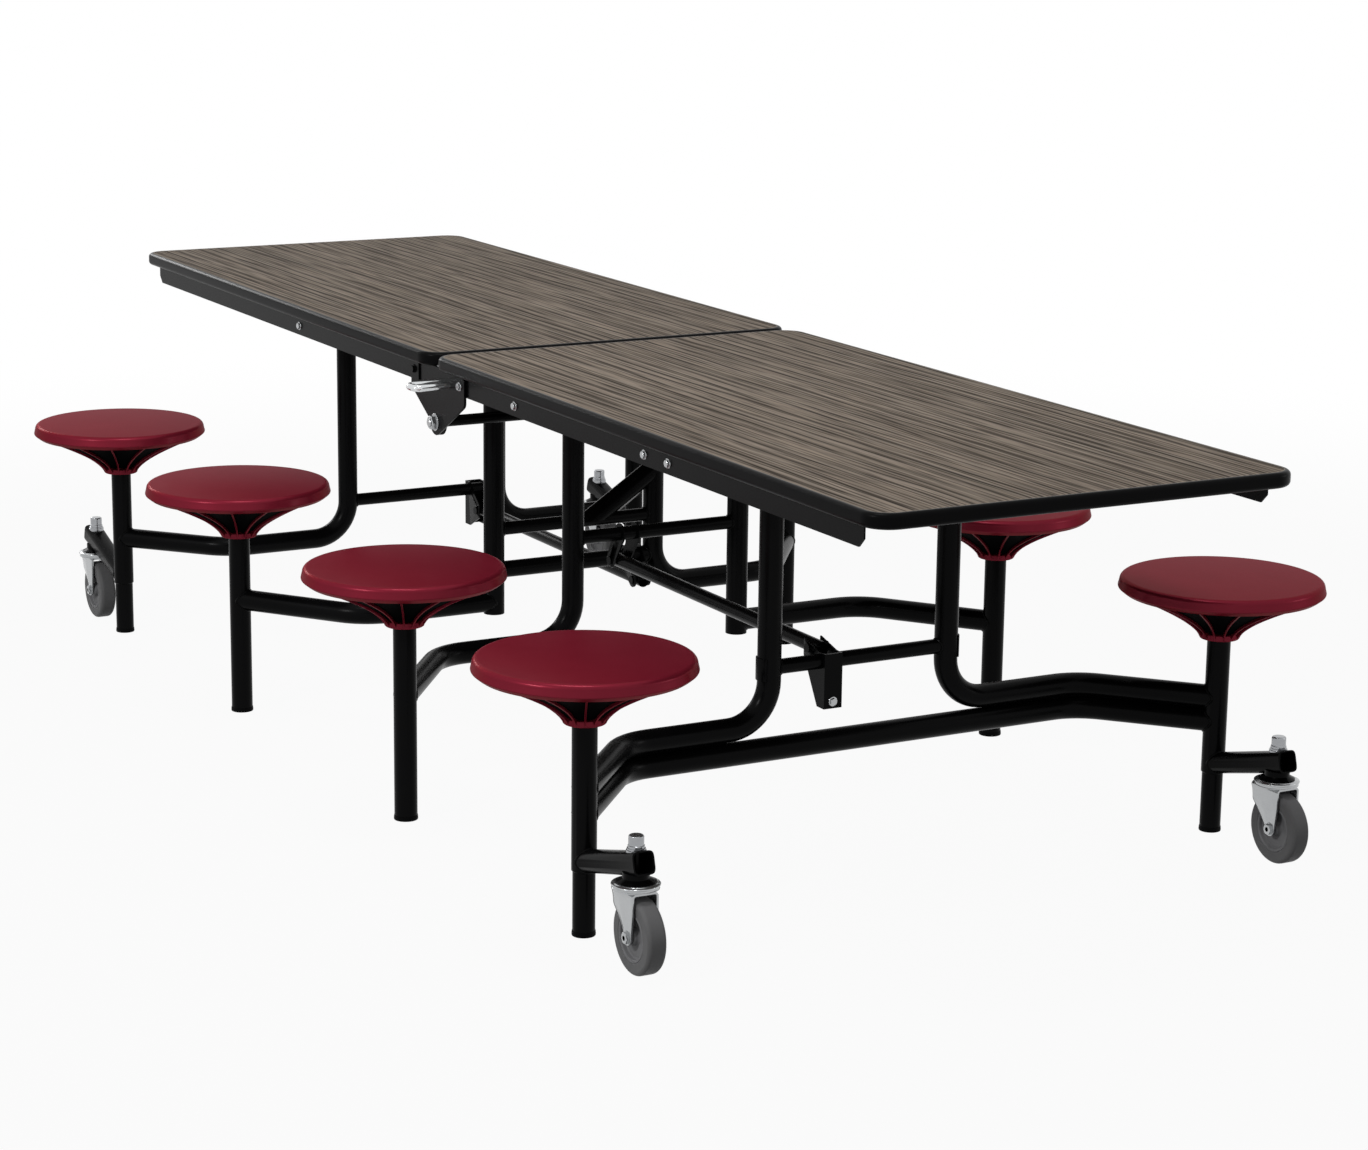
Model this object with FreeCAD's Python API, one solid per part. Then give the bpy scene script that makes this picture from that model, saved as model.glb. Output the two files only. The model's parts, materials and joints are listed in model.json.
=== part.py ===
"""Folding ten-foot dining table with eight attached round seats and four casters.

X runs along the table with the near end at +X, Y runs across it, Z is up and the floor is Z = 0.
Pieces of the near half are modelled once. Most of the far half is the same set turned half round Z.
"""
import FreeCAD, Part
import math
import os

Vec = FreeCAD.Vector
X_AXIS = Vec(1, 0, 0)
Y_AXIS = Vec(0, 1, 0)
Z_AXIS = Vec(0, 0, 1)
OVERRUN = 5.0          # how far a cutting tool passes the face it cuts

# Top: two boards with a laminate face and a rounded edge band
TOP_LENGTH = 3073.0
TOP_WIDTH = 762.0
TOP_HEIGHT = 737.0
TOP_THICK = 25.0
TOP_CORNER_R = 45.0
CENTRE_GAP = 12.0
BAND_WIDTH = 9.0
BAND_ROUND = 8.0
LAMINATE_THICK = 1.2

# Side rails: steel angles under the long edges
RAIL_SETBACK = 17.0
RAIL_HEIGHT = 36.0
RAIL_WALL = 3.0
RAIL_FLANGE = 24.0
RAIL_END_SETBACK = 60.0
RAIL_INNER_START = 85.0
RAIL_END_CUT = 14.0

# Screws through the rails, by their distance from the centre gap along each rail
SCREW_HEAD_R = 7.0
SCREW_HEAD_THICK = 4.0
SCREW_SHANK_R = 3.0
SCREW_SHANK_LENGTH = 9.0
FRONT_SCREW_PLACES = (322.0, 803.0, 884.0)
BACK_SCREW_PLACES = (664.0,)
HINGE_BOLT_PLACE = 105.0

# Centre hinge
HINGE_DROP = 125.0     # pivot axis below the top's surface
HINGE_PLATE_THICK = 5.0
HINGE_PLATE_BACK = 62.0
HINGE_BACK_RISE = 58.0    # low enough to swing past the underside of the other half
HINGE_INNER_BACK = 14.0   # plates of the inner layer stop short of the handle's rods
HINGE_PLATE_FRONT = 125.0
HINGE_PLATE_TOP_GAP = 6.0
HINGE_EYE_R = 24.0
HINGE_CORNER_R = 12.0
SHAFT_R = 10.0
SHAFT_CLEARANCE = 0.08
SHAFT_END = 14.0
SHAFT_NUT_R = 15.0
SHAFT_NUT_THICK = 10.0
SHAFT_WASHER_R = 19.0
SHAFT_WASHER_THICK = 2.0

# Release handle, a chromed loop in a guide block behind the near front hinge plate
HANDLE_ROD_R = 5.0
HANDLE_SPAN = 36.0
HANDLE_REACH = 72.0
HANDLE_X = 44.0
HANDLE_DROP = 24.0     # below the underside of the top
HANDLE_BEND_R = 14.0
HANDLE_INSIDE = 38.0
GUIDE_LENGTH = 30.0
GUIDE_MARGIN = 6.0
GUIDE_CLEARANCE = 0.3

# Leg pivots under the top
PIVOT_DROP = 53.0      # pivot axis below the top's surface
PIVOT_PIN_R = 6.0
PIVOT_PIN_CLEARANCE = 0.08
PIVOT_EYE_R = 16.0
PIVOT_LUG_THICK = 5.0
PIVOT_LUG_GAP = 1.0
PIVOT_BASE_LENGTH = 64.0
PIVOT_BASE_SETBACK = 22.0
PIVOT_PIN_HEAD_R = 9.0
PIVOT_PIN_HEAD_THICK = 4.0

# Frame tubes
TUBE_R = 20.0
TUBE_WALL = 2.0
BAR_R = 12.7
BAR_WALL = 1.6
LEG_BEND_R = 75.0
BRANCH_BEND_R = 100.0
LEG_Y = 172.0
LEG_TOP_ABOVE_PIVOT = 14.0

# End frames
END_LEG_X = 885.0
END_POST_X = 1070.0
POST_Y = 604.0
END_TUBE_Z = 240.0
FAR_END_TUBE_Z = 205.0
BOW_GAP = 1.5          # the bow runs this close under the legs
END_CROSSBAR_Z = 337.0
FAR_END_CROSSBAR_Z = 280.0
END_BEND_SETBACK = 163.0   # the legs bend this far inside the posts

# Centre frames
CENTRE_LEG_X = 168.0
INNER_POST_X = 390.0
INNER_BEND_Y = 440.0      # outside the edge of the top, which folds down past the tubes
CENTRE_TUBE_Z = 220.0
NEAR_CROSSBAR_Z = 410.0
FAR_CROSSBAR_Z = 360.0
STRAIGHT_LEG_END_Z = 196.0
STRETCHER_Z = 280.0
STRETCHER_R = 15.9
BRACE_TOP_Z = 450.0
BRACE_FOOT_Y = 34.0

# Tie bars and their brackets
TIE_Z_NEAR = 352.0
TIE_Z_FAR = 240.0
TIE_INSET = 36.0       # tie pins stand this far inside the crossbars
TIE_END = 16.0         # tube beyond each pin
TIE_Y_NEAR = -60.0
TIE_Y_FAR = 125.0
TIE_PIN_R = 5.0
TIE_PIN_CLEARANCE = 0.4
BRACKET_WALL = 3.0
BRACKET_GAP = 1.5
BRACKET_EYE_R = 14.0
BRACKET_DROP = 78.0    # the saddle hangs this far below the end crossbar
BRACKET_FOOT_DEPTH = 20.0
RIVET_R = 5.0
RIVET_HEAD = 3.0
RIVET_RISE = 12.0

# Posts, foot caps and caster arms
END_POST_FOOT_R = 18.0
END_POST_STEP_DROP = 16.0   # the thin lower end starts this far below the arm's axis
END_FOOT_CLEAR = 3.0   # the end posts stop short of the floor so that the folded table rolls
CAP_HEIGHT = 8.0
CAP_FLARE = 1.0
ARM_R = 18.5
ARM_WALL = 2.5
ARM_RISE = 47.0
ARM_REACH = 172.0
ARM_TIP_PAST = 26.0

# Casters
WHEEL_R = 60.0
WHEEL_WIDTH = 32.0
TYRE_EDGE_R = 7.0
HUB_R = 40.0
HUB_BOSS_R = 13.0
HUB_WEB_WIDTH = 16.0
HUB_RIM_WALL = 5.0
AXLE_R = 6.0
AXLE_CLEARANCE = 0.08
AXLE_HEAD_R = 9.5
AXLE_HEAD_THICK = 5.0
CASTER_TRAIL = 14.0
FORK_GAP = 3.0
FORK_WALL = 3.5
FORK_HEAD_GAP = 8.0
FORK_EYE_R = 12.0
FORK_CROWN_WIDTH = 58.0
RACE_R = 34.0
RACE_HEIGHT = 10.0
RACE_GAP = 0.4
STEM_R = 6.5
STEM_CLEARANCE = 0.3
STEM_FLANGE_R = 30.0
STEM_SEAT_R = 21.0
STEM_SEAT_GAP = 10.0   # from the race up to the underside of the arm
STEM_NUT_R = 13.0
STEM_NUT_THICK = 20.0
STEM_NUT_ROUND = 3.0
STEM_WASHER_R = 15.5
STEM_WASHER_THICK = 6.0

# Seats
SEAT_R = 175.0
SEAT_TOP_Z = 452.0
SEAT_EDGE_R = 6.0
SEAT_CROWN = 3.0
SEAT_FLAT_R = 40.0       # the middle of the crown is level
SEAT_RIM_HEIGHT = 30.0
SEAT_SIDE_HEIGHT = 18.0
SEAT_BEVEL = 7.0
SEAT_SKIN = 6.0
SEAT_PAN_R = 98.0
SEAT_PAN_DROP = 58.0
SEAT_WAIST_R = 48.0
SEAT_WAIST_DROP = 87.0
SEAT_DEPTH = 108.0
COLLAR_R = 34.0
COLLAR_HEIGHT = 12.0
COLLAR_STEP = 4.0
RIB_COUNT = 14
RIB_THICK = 3.0
SOCKET_DROP = 56.0     # the post ends this far below the seat's top
SOCKET_WALL = 4.0
SOCKET_CLEARANCE = 0.3

# Worked out from the sizes above
UNDERSIDE_Z = TOP_HEIGHT - TOP_THICK
HINGE_Z = TOP_HEIGHT - HINGE_DROP
PIVOT_Z = TOP_HEIGHT - PIVOT_DROP
HALF_WIDTH = TOP_WIDTH / 2
HALF_LENGTH = (TOP_LENGTH - CENTRE_GAP) / 2
RAIL_FACE_Y = HALF_WIDTH - RAIL_SETBACK
END_BEND_Y = POST_Y - END_BEND_SETBACK
BOW_Z = END_TUBE_Z - TUBE_R * 2 - BOW_GAP
SEAT_BOTTOM_Z = SEAT_TOP_Z - SEAT_DEPTH
STEM_X = END_POST_X + ARM_REACH
POST_TOP_Z = SEAT_TOP_Z - SOCKET_DROP
FORK_TOP_Z = WHEEL_R * 2 + FORK_HEAD_GAP + FORK_WALL
ARM_TIP_Z = FORK_TOP_Z + RACE_HEIGHT + STEM_SEAT_GAP + ARM_R
ARM_POST_Z = ARM_TIP_Z - ARM_RISE
END_POST_STEP_Z = ARM_POST_Z - END_POST_STEP_DROP


def cylinder(radius, height, base, axis=Z_AXIS):
    """A round bar from its base point along an axis."""
    return Part.makeCylinder(radius, height, base, axis)


def round_bar(start, end, radius):
    """A round bar between two points."""
    run = end - start
    return Part.makeCylinder(radius, run.Length, start, run)


def box_between(low, high):
    """A box from its lowest to its highest corner."""
    size = high - low
    return Part.makeBox(size.x, size.y, size.z, low)


def rounded_path(points, bend_r):
    """A wire of straight runs through the points with a tangent arc at each inner one."""
    edges = []
    start = points[0]
    for before, corner, after in zip(points, points[1:], points[2:]):
        back = (before - corner).normalize()
        ahead = (after - corner).normalize()
        half = back.getAngle(ahead) / 2
        tangent = bend_r / math.tan(half)
        inward = (back + ahead).normalize()
        centre = corner + inward * (bend_r / math.sin(half))
        arc_start = corner + back * tangent
        arc_end = corner + ahead * tangent
        arc_middle = centre - inward * bend_r
        edges.append(Part.LineSegment(start, arc_start).toShape())
        edges.append(Part.Arc(arc_start, arc_middle, arc_end).toShape())
        start = arc_end
    edges.append(Part.LineSegment(start, points[-1]).toShape())
    return Part.Wire(edges)


def swept_bar(points, radius, bend_r):
    """A solid round bar along a bent path."""
    path = rounded_path(points, bend_r)
    first_run = points[1] - points[0]
    ring = Part.Wire([Part.Circle(points[0], first_run, radius).toShape()])
    return path.makePipeShell([ring], True, False)


def bent_tube(points, radius, wall, bend_r):
    """A hollow tube along a bent path."""
    return swept_bar(points, radius, bend_r).cut(swept_bar(points, radius - wall, bend_r))


def straight_tube(start, end, radius, wall):
    """A hollow tube between two points."""
    return round_bar(start, end, radius).cut(round_bar(start, end, radius - wall))


def revolved(profile, base):
    """A turned solid from (radius, height) points, about Z through the base point."""
    points = [base + Vec(r, 0, z) for r, z in profile]
    face = Part.Face(Part.makePolygon(points + [points[0]]))
    return face.revolve(base, Z_AXIS, 360)


def plate_in_xz(points, y, thick):
    """A flat plate with its outline in the XZ plane, from y towards +Y."""
    corners = [Vec(x, y, z) for x, z in points]
    face = Part.Face(Part.makePolygon(corners + [corners[0]]))
    return face.extrude(Vec(0, thick, 0))


def hull_of_discs(discs, y, thick):
    """A plate round two discs (x, z, radius) that lie in the XZ plane, with tangent straight sides."""
    (x0, z0, r0), (x1, z1, r1) = discs
    span = math.hypot(x1 - x0, z1 - z0)
    turn = math.atan2(z1 - z0, x1 - x0)
    lean = math.acos((r0 - r1) / span)
    corners = []
    for x, z, r, angle in ((x0, z0, r0, turn + lean), (x1, z1, r1, turn + lean),
                           (x1, z1, r1, turn - lean), (x0, z0, r0, turn - lean)):
        corners.append((x + r * math.cos(angle), z + r * math.sin(angle)))
    plate = plate_in_xz(corners, y, thick)
    for x, z, r in discs:
        plate = plate.fuse(cylinder(r, thick, Vec(x, y, z), Y_AXIS))
    return plate.removeSplitter()


def turned(shape):
    """The same piece on the far half, turned half round Z."""
    copy = shape.copy()
    copy.rotate(Vec(0, 0, 0), Z_AXIS, 180)
    return copy


def mirrored_y(shape):
    """The same piece on the other side of the table."""
    return shape.mirror(Vec(0, 0, 0), Y_AXIS)


# Top of the near half

def top_outline(inset):
    """The outline of one half of the top, as a face on the underside, drawn in by an inset."""
    x0 = CENTRE_GAP / 2 + inset
    x1 = CENTRE_GAP / 2 + HALF_LENGTH - inset
    y1 = HALF_WIDTH - inset
    corner_r = TOP_CORNER_R - inset
    slab = Part.makeBox(x1 - x0, y1 * 2, TOP_THICK, Vec(x0, -y1, UNDERSIDE_Z))
    uprights = [e for e in slab.Edges if abs(e.tangentAt(e.FirstParameter).z) > 0.5]
    return slab.makeFillet(corner_r, uprights)


def edge_band():
    """The rounded band round one half of the top."""
    block = top_outline(0)
    rims = [e for f in block.Faces if abs(f.normalAt(0, 0).z) > 0.5 for e in f.Edges]
    return block.makeFillet(BAND_ROUND, rims).cut(top_outline(BAND_WIDTH))


def board_and_laminate():
    """The core of one half and the laminate sheet on it."""
    whole = top_outline(BAND_WIDTH)
    split_z = TOP_HEIGHT - LAMINATE_THICK
    low = Vec(-OVERRUN, -TOP_WIDTH, split_z)
    high = Vec(TOP_LENGTH, TOP_WIDTH, TOP_HEIGHT + OVERRUN)
    upper = box_between(low, high)
    return whole.cut(upper), whole.common(upper)


def side_rail():
    """The rail under the front edge: an angle whose free end is cut back at the bottom."""
    x0 = RAIL_INNER_START
    x1 = CENTRE_GAP / 2 + HALF_LENGTH - RAIL_END_SETBACK
    bottom = UNDERSIDE_Z - RAIL_HEIGHT
    outline = [(x0, bottom), (x1 - RAIL_END_CUT, bottom), (x1, bottom + RAIL_END_CUT),
               (x1, UNDERSIDE_Z), (x0, UNDERSIDE_Z)]
    web = plate_in_xz(outline, -RAIL_FACE_Y, RAIL_WALL)
    flange_low = Vec(x0, -RAIL_FACE_Y, UNDERSIDE_Z - RAIL_WALL)
    flange_high = Vec(x1, -RAIL_FACE_Y + RAIL_FLANGE, UNDERSIDE_Z)
    return web.fuse(box_between(flange_low, flange_high)).removeSplitter()


def rail_screw(x, side, packing=0):
    """A round-headed screw through a rail, on the front (-1) or back (+1) side, over any plate."""
    z = UNDERSIDE_Z - RAIL_HEIGHT / 2
    out = Vec(0, side, 0)
    face = Vec(x, side * (RAIL_FACE_Y + packing), z)
    head = cylinder(SCREW_HEAD_R, SCREW_HEAD_THICK, face, out)
    crown = [e for e in head.Edges if abs(e.CenterOfMass.y - face.y) > SCREW_HEAD_THICK / 2
             and len(e.Vertexes) == 1]
    head = head.makeFillet(SCREW_HEAD_THICK / 2, crown)
    shank = cylinder(SCREW_SHANK_R, SCREW_SHANK_LENGTH + packing, face, out * -1)
    return head.fuse(shank).removeSplitter()


def hinge_plate(y, back_reach, back_rise):
    """A three-cornered hinge plate with its eye on the hinge axis, from y towards +Y."""
    top = UNDERSIDE_Z - HINGE_PLATE_TOP_GAP - HINGE_CORNER_R
    eye = (0, HINGE_Z, HINGE_EYE_R)
    back = (-back_reach + HINGE_CORNER_R, HINGE_Z + back_rise, HINGE_CORNER_R)
    front = (HINGE_PLATE_FRONT - HINGE_CORNER_R, top, HINGE_CORNER_R)
    plate = hull_of_discs((eye, back), y, HINGE_PLATE_THICK)
    plate = plate.fuse(hull_of_discs((eye, front), y, HINGE_PLATE_THICK))
    plate = plate.fuse(hull_of_discs((back, front), y, HINGE_PLATE_THICK))
    middle = plate_in_xz([(eye[0], eye[1]), (back[0], back[1]), (front[0], front[1])], y, HINGE_PLATE_THICK)
    plate = plate.fuse(middle).removeSplitter()
    bore = cylinder(SHAFT_R + SHAFT_CLEARANCE, HINGE_PLATE_THICK + OVERRUN * 2,
                    Vec(0, y - OVERRUN, HINGE_Z), Y_AXIS)
    return plate.cut(bore)


def handle_points():
    """Path of the handle loop, from one rod's inner end round the bow to the other's."""
    z = UNDERSIDE_Z - HANDLE_DROP
    inner = -RAIL_FACE_Y + HANDLE_INSIDE
    outer = -RAIL_FACE_Y - HANDLE_REACH
    x0 = HANDLE_X - HANDLE_SPAN / 2
    x1 = HANDLE_X + HANDLE_SPAN / 2
    return [Vec(x0, inner, z), Vec(x0, outer, z), Vec(x1, outer, z), Vec(x1, inner, z)]


def release_handle():
    return swept_bar(handle_points(), HANDLE_ROD_R, HANDLE_BEND_R)


def handle_holes():
    """Clearance holes that the handle's two rods slide in."""
    first, _, _, last = handle_points()
    reach = HANDLE_REACH + HANDLE_INSIDE
    radius = HANDLE_ROD_R + GUIDE_CLEARANCE
    start = -RAIL_FACE_Y - HANDLE_REACH / 2
    holes = [cylinder(radius, reach, Vec(p.x, start, p.z), Y_AXIS) for p in (first, last)]
    return holes[0].fuse(holes[1])


def handle_guide():
    """The block behind the hinge plate that carries the handle, screwed under the top."""
    z = UNDERSIDE_Z - HANDLE_DROP
    half = HANDLE_SPAN / 2 + HANDLE_ROD_R + GUIDE_MARGIN
    y0 = -RAIL_FACE_Y + HINGE_PLATE_THICK * 2
    low = Vec(HANDLE_X - half, y0, z - HANDLE_ROD_R - GUIDE_MARGIN)
    high = Vec(HANDLE_X + half, y0 + GUIDE_LENGTH, UNDERSIDE_Z)
    return box_between(low, high).cut(handle_holes())


def hinge_shaft():
    """The pivot shaft across the table and, as solids of their own, a washer and nut at each end."""
    plate_face = RAIL_FACE_Y + HINGE_PLATE_THICK
    reach = plate_face + SHAFT_END
    shaft = cylinder(SHAFT_R, reach * 2, Vec(0, -reach, HINGE_Z), Y_AXIS)
    pieces = [shaft]
    for side in (-1, 1):
        out = Vec(0, side, 0)
        face = Vec(0, side * plate_face, HINGE_Z)
        washer = cylinder(SHAFT_WASHER_R, SHAFT_WASHER_THICK, face, out)
        nut = six_sided(SHAFT_NUT_R, SHAFT_NUT_THICK, face + out * SHAFT_WASHER_THICK, out)
        pieces.append(washer.fuse(nut).removeSplitter().cut(shaft))
    return pieces


def six_sided(corner_r, thick, base, axis):
    """A six-sided nut blank on a base point along an axis."""
    corners = []
    for k in range(7):
        angle = math.radians(60 * k)
        corners.append(Vec(corner_r * math.cos(angle), corner_r * math.sin(angle), 0))
    nut = Part.Face(Part.makePolygon(corners)).extrude(Vec(0, 0, thick))
    nut.Placement = FreeCAD.Placement(base, FreeCAD.Rotation(Z_AXIS, axis))
    return nut


def leg_pivot(x, y):
    """The bracket of one leg: two lugs that hang from a base beside the leg, and the pin through them."""
    half_gap = TUBE_R + PIVOT_LUG_GAP
    base_x0 = x - PIVOT_BASE_SETBACK - PIVOT_BASE_LENGTH
    base_x1 = x - PIVOT_BASE_SETBACK
    outline = [(base_x0, UNDERSIDE_Z), (base_x1, UNDERSIDE_Z),
               (x + PIVOT_EYE_R / 2, PIVOT_Z + PIVOT_EYE_R), (x, PIVOT_Z - PIVOT_EYE_R),
               (base_x0, UNDERSIDE_Z - PIVOT_LUG_THICK)]
    bracket = box_between(Vec(base_x0, y - half_gap - PIVOT_LUG_THICK, UNDERSIDE_Z - PIVOT_LUG_THICK),
                          Vec(base_x1, y + half_gap + PIVOT_LUG_THICK, UNDERSIDE_Z))
    for lug_y in (y - half_gap - PIVOT_LUG_THICK, y + half_gap):
        lug = plate_in_xz(outline, lug_y, PIVOT_LUG_THICK)
        lug = lug.fuse(cylinder(PIVOT_EYE_R, PIVOT_LUG_THICK, Vec(x, lug_y, PIVOT_Z), Y_AXIS))
        bracket = bracket.fuse(lug)
    pin = pivot_pin(x, y)
    return [bracket.removeSplitter().cut(pin), pin]


def pivot_pin(x, y):
    """The pin of a leg pivot, with a head outside each lug."""
    reach = TUBE_R + PIVOT_LUG_GAP + PIVOT_LUG_THICK
    pin = cylinder(PIVOT_PIN_R, reach * 2, Vec(x, y - reach, PIVOT_Z), Y_AXIS)
    for side in (-1, 1):
        head_base = Vec(x, y + side * reach, PIVOT_Z)
        pin = pin.fuse(cylinder(PIVOT_PIN_HEAD_R, PIVOT_PIN_HEAD_THICK, head_base, Vec(0, side, 0)))
    return pin.removeSplitter()


def pivot_hole(x, y):
    """The running hole of a pivot pin through a leg."""
    reach = TUBE_R + OVERRUN
    return cylinder(PIVOT_PIN_R + PIVOT_PIN_CLEARANCE, reach * 2, Vec(x, y - reach, PIVOT_Z), Y_AXIS)


# Frames of the near half

def post_solid(x, y):
    """The full round of a post, used to cope what is welded to it."""
    return cylinder(TUBE_R, POST_TOP_Z, Vec(x, y, 0))


def end_leg(tube_z):
    """The front leg of an end frame: down, outward at a height, then on to its post."""
    points = [Vec(END_LEG_X, -LEG_Y, PIVOT_Z + LEG_TOP_ABOVE_PIVOT), Vec(END_LEG_X, -LEG_Y, tube_z),
              Vec(END_LEG_X, -END_BEND_Y, tube_z), Vec(END_POST_X, -POST_Y, tube_z)]
    first_bend = points[:3]
    first_bend[2] = (points[1] + points[2]) / 2 + Vec(0, -LEG_BEND_R / 2, 0)
    upper = bent_tube(first_bend, TUBE_R, TUBE_WALL, LEG_BEND_R)
    lower = bent_tube([first_bend[2]] + points[2:], TUBE_R, TUBE_WALL, BRANCH_BEND_R)
    leg = upper.fuse(lower).removeSplitter()
    return leg.cut(post_solid(END_POST_X, -POST_Y)).cut(pivot_hole(END_LEG_X, -LEG_Y))


def end_bow():
    """The lower tube across the end frame, bent outward to a post at each end, as two mirrored halves."""
    points = [Vec(END_POST_X, -POST_Y, BOW_Z), Vec(END_LEG_X, -END_BEND_Y, BOW_Z), Vec(END_LEG_X, 0, BOW_Z)]
    half = bent_tube(points, TUBE_R, TUBE_WALL, BRANCH_BEND_R).cut(post_solid(END_POST_X, -POST_Y))
    return half.fuse(mirrored_y(half)).removeSplitter()


def crossbar(x, z):
    """A straight bar between the two legs of a frame, coped to them."""
    bar = straight_tube(Vec(x, -LEG_Y, z), Vec(x, LEG_Y, z), BAR_R, BAR_WALL)
    for side in (-1, 1):
        bar = bar.cut(cylinder(TUBE_R, TOP_HEIGHT, Vec(x, side * LEG_Y, 0)))
    return bar


def bracket_walls(outline, tie_y):
    """Two side plates that stand either side of a tie bar."""
    half_gap = BAR_R + BRACKET_GAP
    left = plate_in_xz(outline, tie_y - half_gap - BRACKET_WALL, BRACKET_WALL)
    right = plate_in_xz(outline, tie_y + half_gap, BRACKET_WALL)
    return left, right


def tie_pin(x, tie_y, tie_z):
    """The pin that a tie bar turns on."""
    reach = BAR_R + BRACKET_GAP + BRACKET_WALL
    pin = cylinder(TIE_PIN_R, reach * 2, Vec(x, tie_y - reach, tie_z), Y_AXIS)
    for side in (-1, 1):
        head_base = Vec(x, tie_y + side * reach, tie_z)
        pin = pin.fuse(cylinder(TIE_PIN_R + RIVET_HEAD, RIVET_HEAD, head_base, Vec(0, side, 0)))
    return pin.removeSplitter()


def end_saddle(tie_y, tie_z, bar_z):
    """The saddle on an end crossbar: a front plate that hangs below the bar, and walls back to the pin."""
    pin_x = END_LEG_X - TIE_INSET
    half_gap = BAR_R + BRACKET_GAP
    front = END_LEG_X + BAR_R + BRACKET_WALL
    top = bar_z + BAR_R + BRACKET_WALL
    foot = bar_z - BRACKET_DROP
    back = pin_x - BRACKET_EYE_R
    outline = [(back, tie_z - BRACKET_EYE_R), (back, tie_z + BRACKET_EYE_R),
               (END_LEG_X, top), (front, top), (front, foot), (front - BRACKET_FOOT_DEPTH, foot)]
    saddle = box_between(Vec(front, tie_y - half_gap - BRACKET_WALL, foot),
                         Vec(front + BRACKET_WALL, tie_y + half_gap + BRACKET_WALL, top))
    for wall in bracket_walls(outline, tie_y):
        saddle = saddle.fuse(wall)
    rivet = cylinder(RIVET_R, RIVET_HEAD, Vec(front + BRACKET_WALL, tie_y, foot + RIVET_RISE), X_AXIS)
    saddle = saddle.fuse(rivet).removeSplitter()
    crossbar_hole = cylinder(BAR_R, LEG_Y * 2, Vec(END_LEG_X, -LEG_Y, bar_z), Y_AXIS)
    pin = tie_pin(pin_x, tie_y, tie_z)
    return [saddle.cut(crossbar_hole).cut(pin), pin]


def centre_hanger(tie_y, tie_z, bar_z, bar_r):
    """The two plates that hang from a bar of the centre frame and hold the inner end of a tie bar."""
    pin_x = CENTRE_LEG_X - TIE_INSET
    bar_hole = cylinder(bar_r, LEG_Y * 2, Vec(CENTRE_LEG_X, -LEG_Y, bar_z), Y_AXIS)
    pin = tie_pin(pin_x, tie_y, tie_z)
    half_gap = BAR_R + BRACKET_GAP
    eyes = ((CENTRE_LEG_X, bar_z, bar_r + BRACKET_WALL * 2), (pin_x, tie_z, BRACKET_EYE_R))
    pieces = []
    for y in (tie_y - half_gap - BRACKET_WALL, tie_y + half_gap):
        pieces.append(hull_of_discs(eyes, y, BRACKET_WALL).cut(bar_hole).cut(pin))
    return pieces + [pin]


def tie_bar(tie_y, tie_z):
    """The long bar from the end frame's saddle to the centre frame's hanger, at rest."""
    outer = END_LEG_X - TIE_INSET
    inner = CENTRE_LEG_X - TIE_INSET
    start = Vec(inner - TIE_END, tie_y, tie_z)
    end = Vec(outer + TIE_END, tie_y, tie_z)
    bar = straight_tube(start, end, BAR_R, BAR_WALL)
    for x in (inner, outer):
        hole = cylinder(TIE_PIN_R + TIE_PIN_CLEARANCE, BAR_R * 4, Vec(x, tie_y - BAR_R * 2, tie_z), Y_AXIS)
        bar = bar.cut(hole)
    return bar


def centre_brace(crossbar_z):
    """The slanting tube from the bent leg down to the middle of the crossbar."""
    start = Vec(CENTRE_LEG_X, -LEG_Y, BRACE_TOP_Z)
    end = Vec(CENTRE_LEG_X, -BRACE_FOOT_Y, crossbar_z)
    past_end = end + (end - start).normalize() * TUBE_R * 2
    brace = straight_tube(start, past_end, TUBE_R, TUBE_WALL)
    brace = brace.cut(cylinder(TUBE_R, TOP_HEIGHT, Vec(CENTRE_LEG_X, -LEG_Y, 0)))
    low = Vec(CENTRE_LEG_X - TUBE_R * 2, -LEG_Y * 2, 0)
    below = box_between(low, Vec(CENTRE_LEG_X + TUBE_R * 2, LEG_Y, crossbar_z))
    brace = brace.cut(below).cut(cylinder(BAR_R, LEG_Y * 2, Vec(CENTRE_LEG_X, -LEG_Y, crossbar_z), Y_AXIS))
    return max(brace.Solids, key=lambda s: s.Volume)


def caster_arm(side):
    """The arm that rises outward from an end post to the caster's stem, as a bare tube along its slope."""
    slope = Vec(ARM_REACH, 0, ARM_TIP_Z - ARM_POST_Z).normalize()
    start = Vec(END_POST_X, side * POST_Y, ARM_POST_Z)
    end = Vec(STEM_X, side * POST_Y, ARM_TIP_Z) + slope * ARM_TIP_PAST
    return start, end


def end_post(side):
    """An end post, thinner below its caster arm, with the arm welded to it."""
    base = Vec(END_POST_X, side * POST_Y, 0)
    foot_z = END_FOOT_CLEAR + CAP_HEIGHT / 2
    profile = [(END_POST_FOOT_R - TUBE_WALL, foot_z), (END_POST_FOOT_R, foot_z),
               (END_POST_FOOT_R, END_POST_STEP_Z), (TUBE_R, END_POST_STEP_Z + TUBE_R - END_POST_FOOT_R),
               (TUBE_R, POST_TOP_Z), (END_POST_FOOT_R - TUBE_WALL, POST_TOP_Z)]
    post = revolved(profile, base)
    start, end = caster_arm(side)
    arm = straight_tube(start, end, ARM_R, ARM_WALL)
    core = cylinder(END_POST_FOOT_R, POST_TOP_Z, base)
    stem_hole = cylinder(STEM_R, ARM_R * 4, Vec(STEM_X, side * POST_Y, ARM_TIP_Z - ARM_R * 2))
    return post.fuse(arm.cut(core)).removeSplitter().cut(stem_hole)


def inner_post(side):
    """An inner post, straight down to its foot cap."""
    base = Vec(INNER_POST_X, side * POST_Y, CAP_HEIGHT / 2)
    return straight_tube(base, Vec(INNER_POST_X, side * POST_Y, POST_TOP_Z), TUBE_R, TUBE_WALL)


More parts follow.
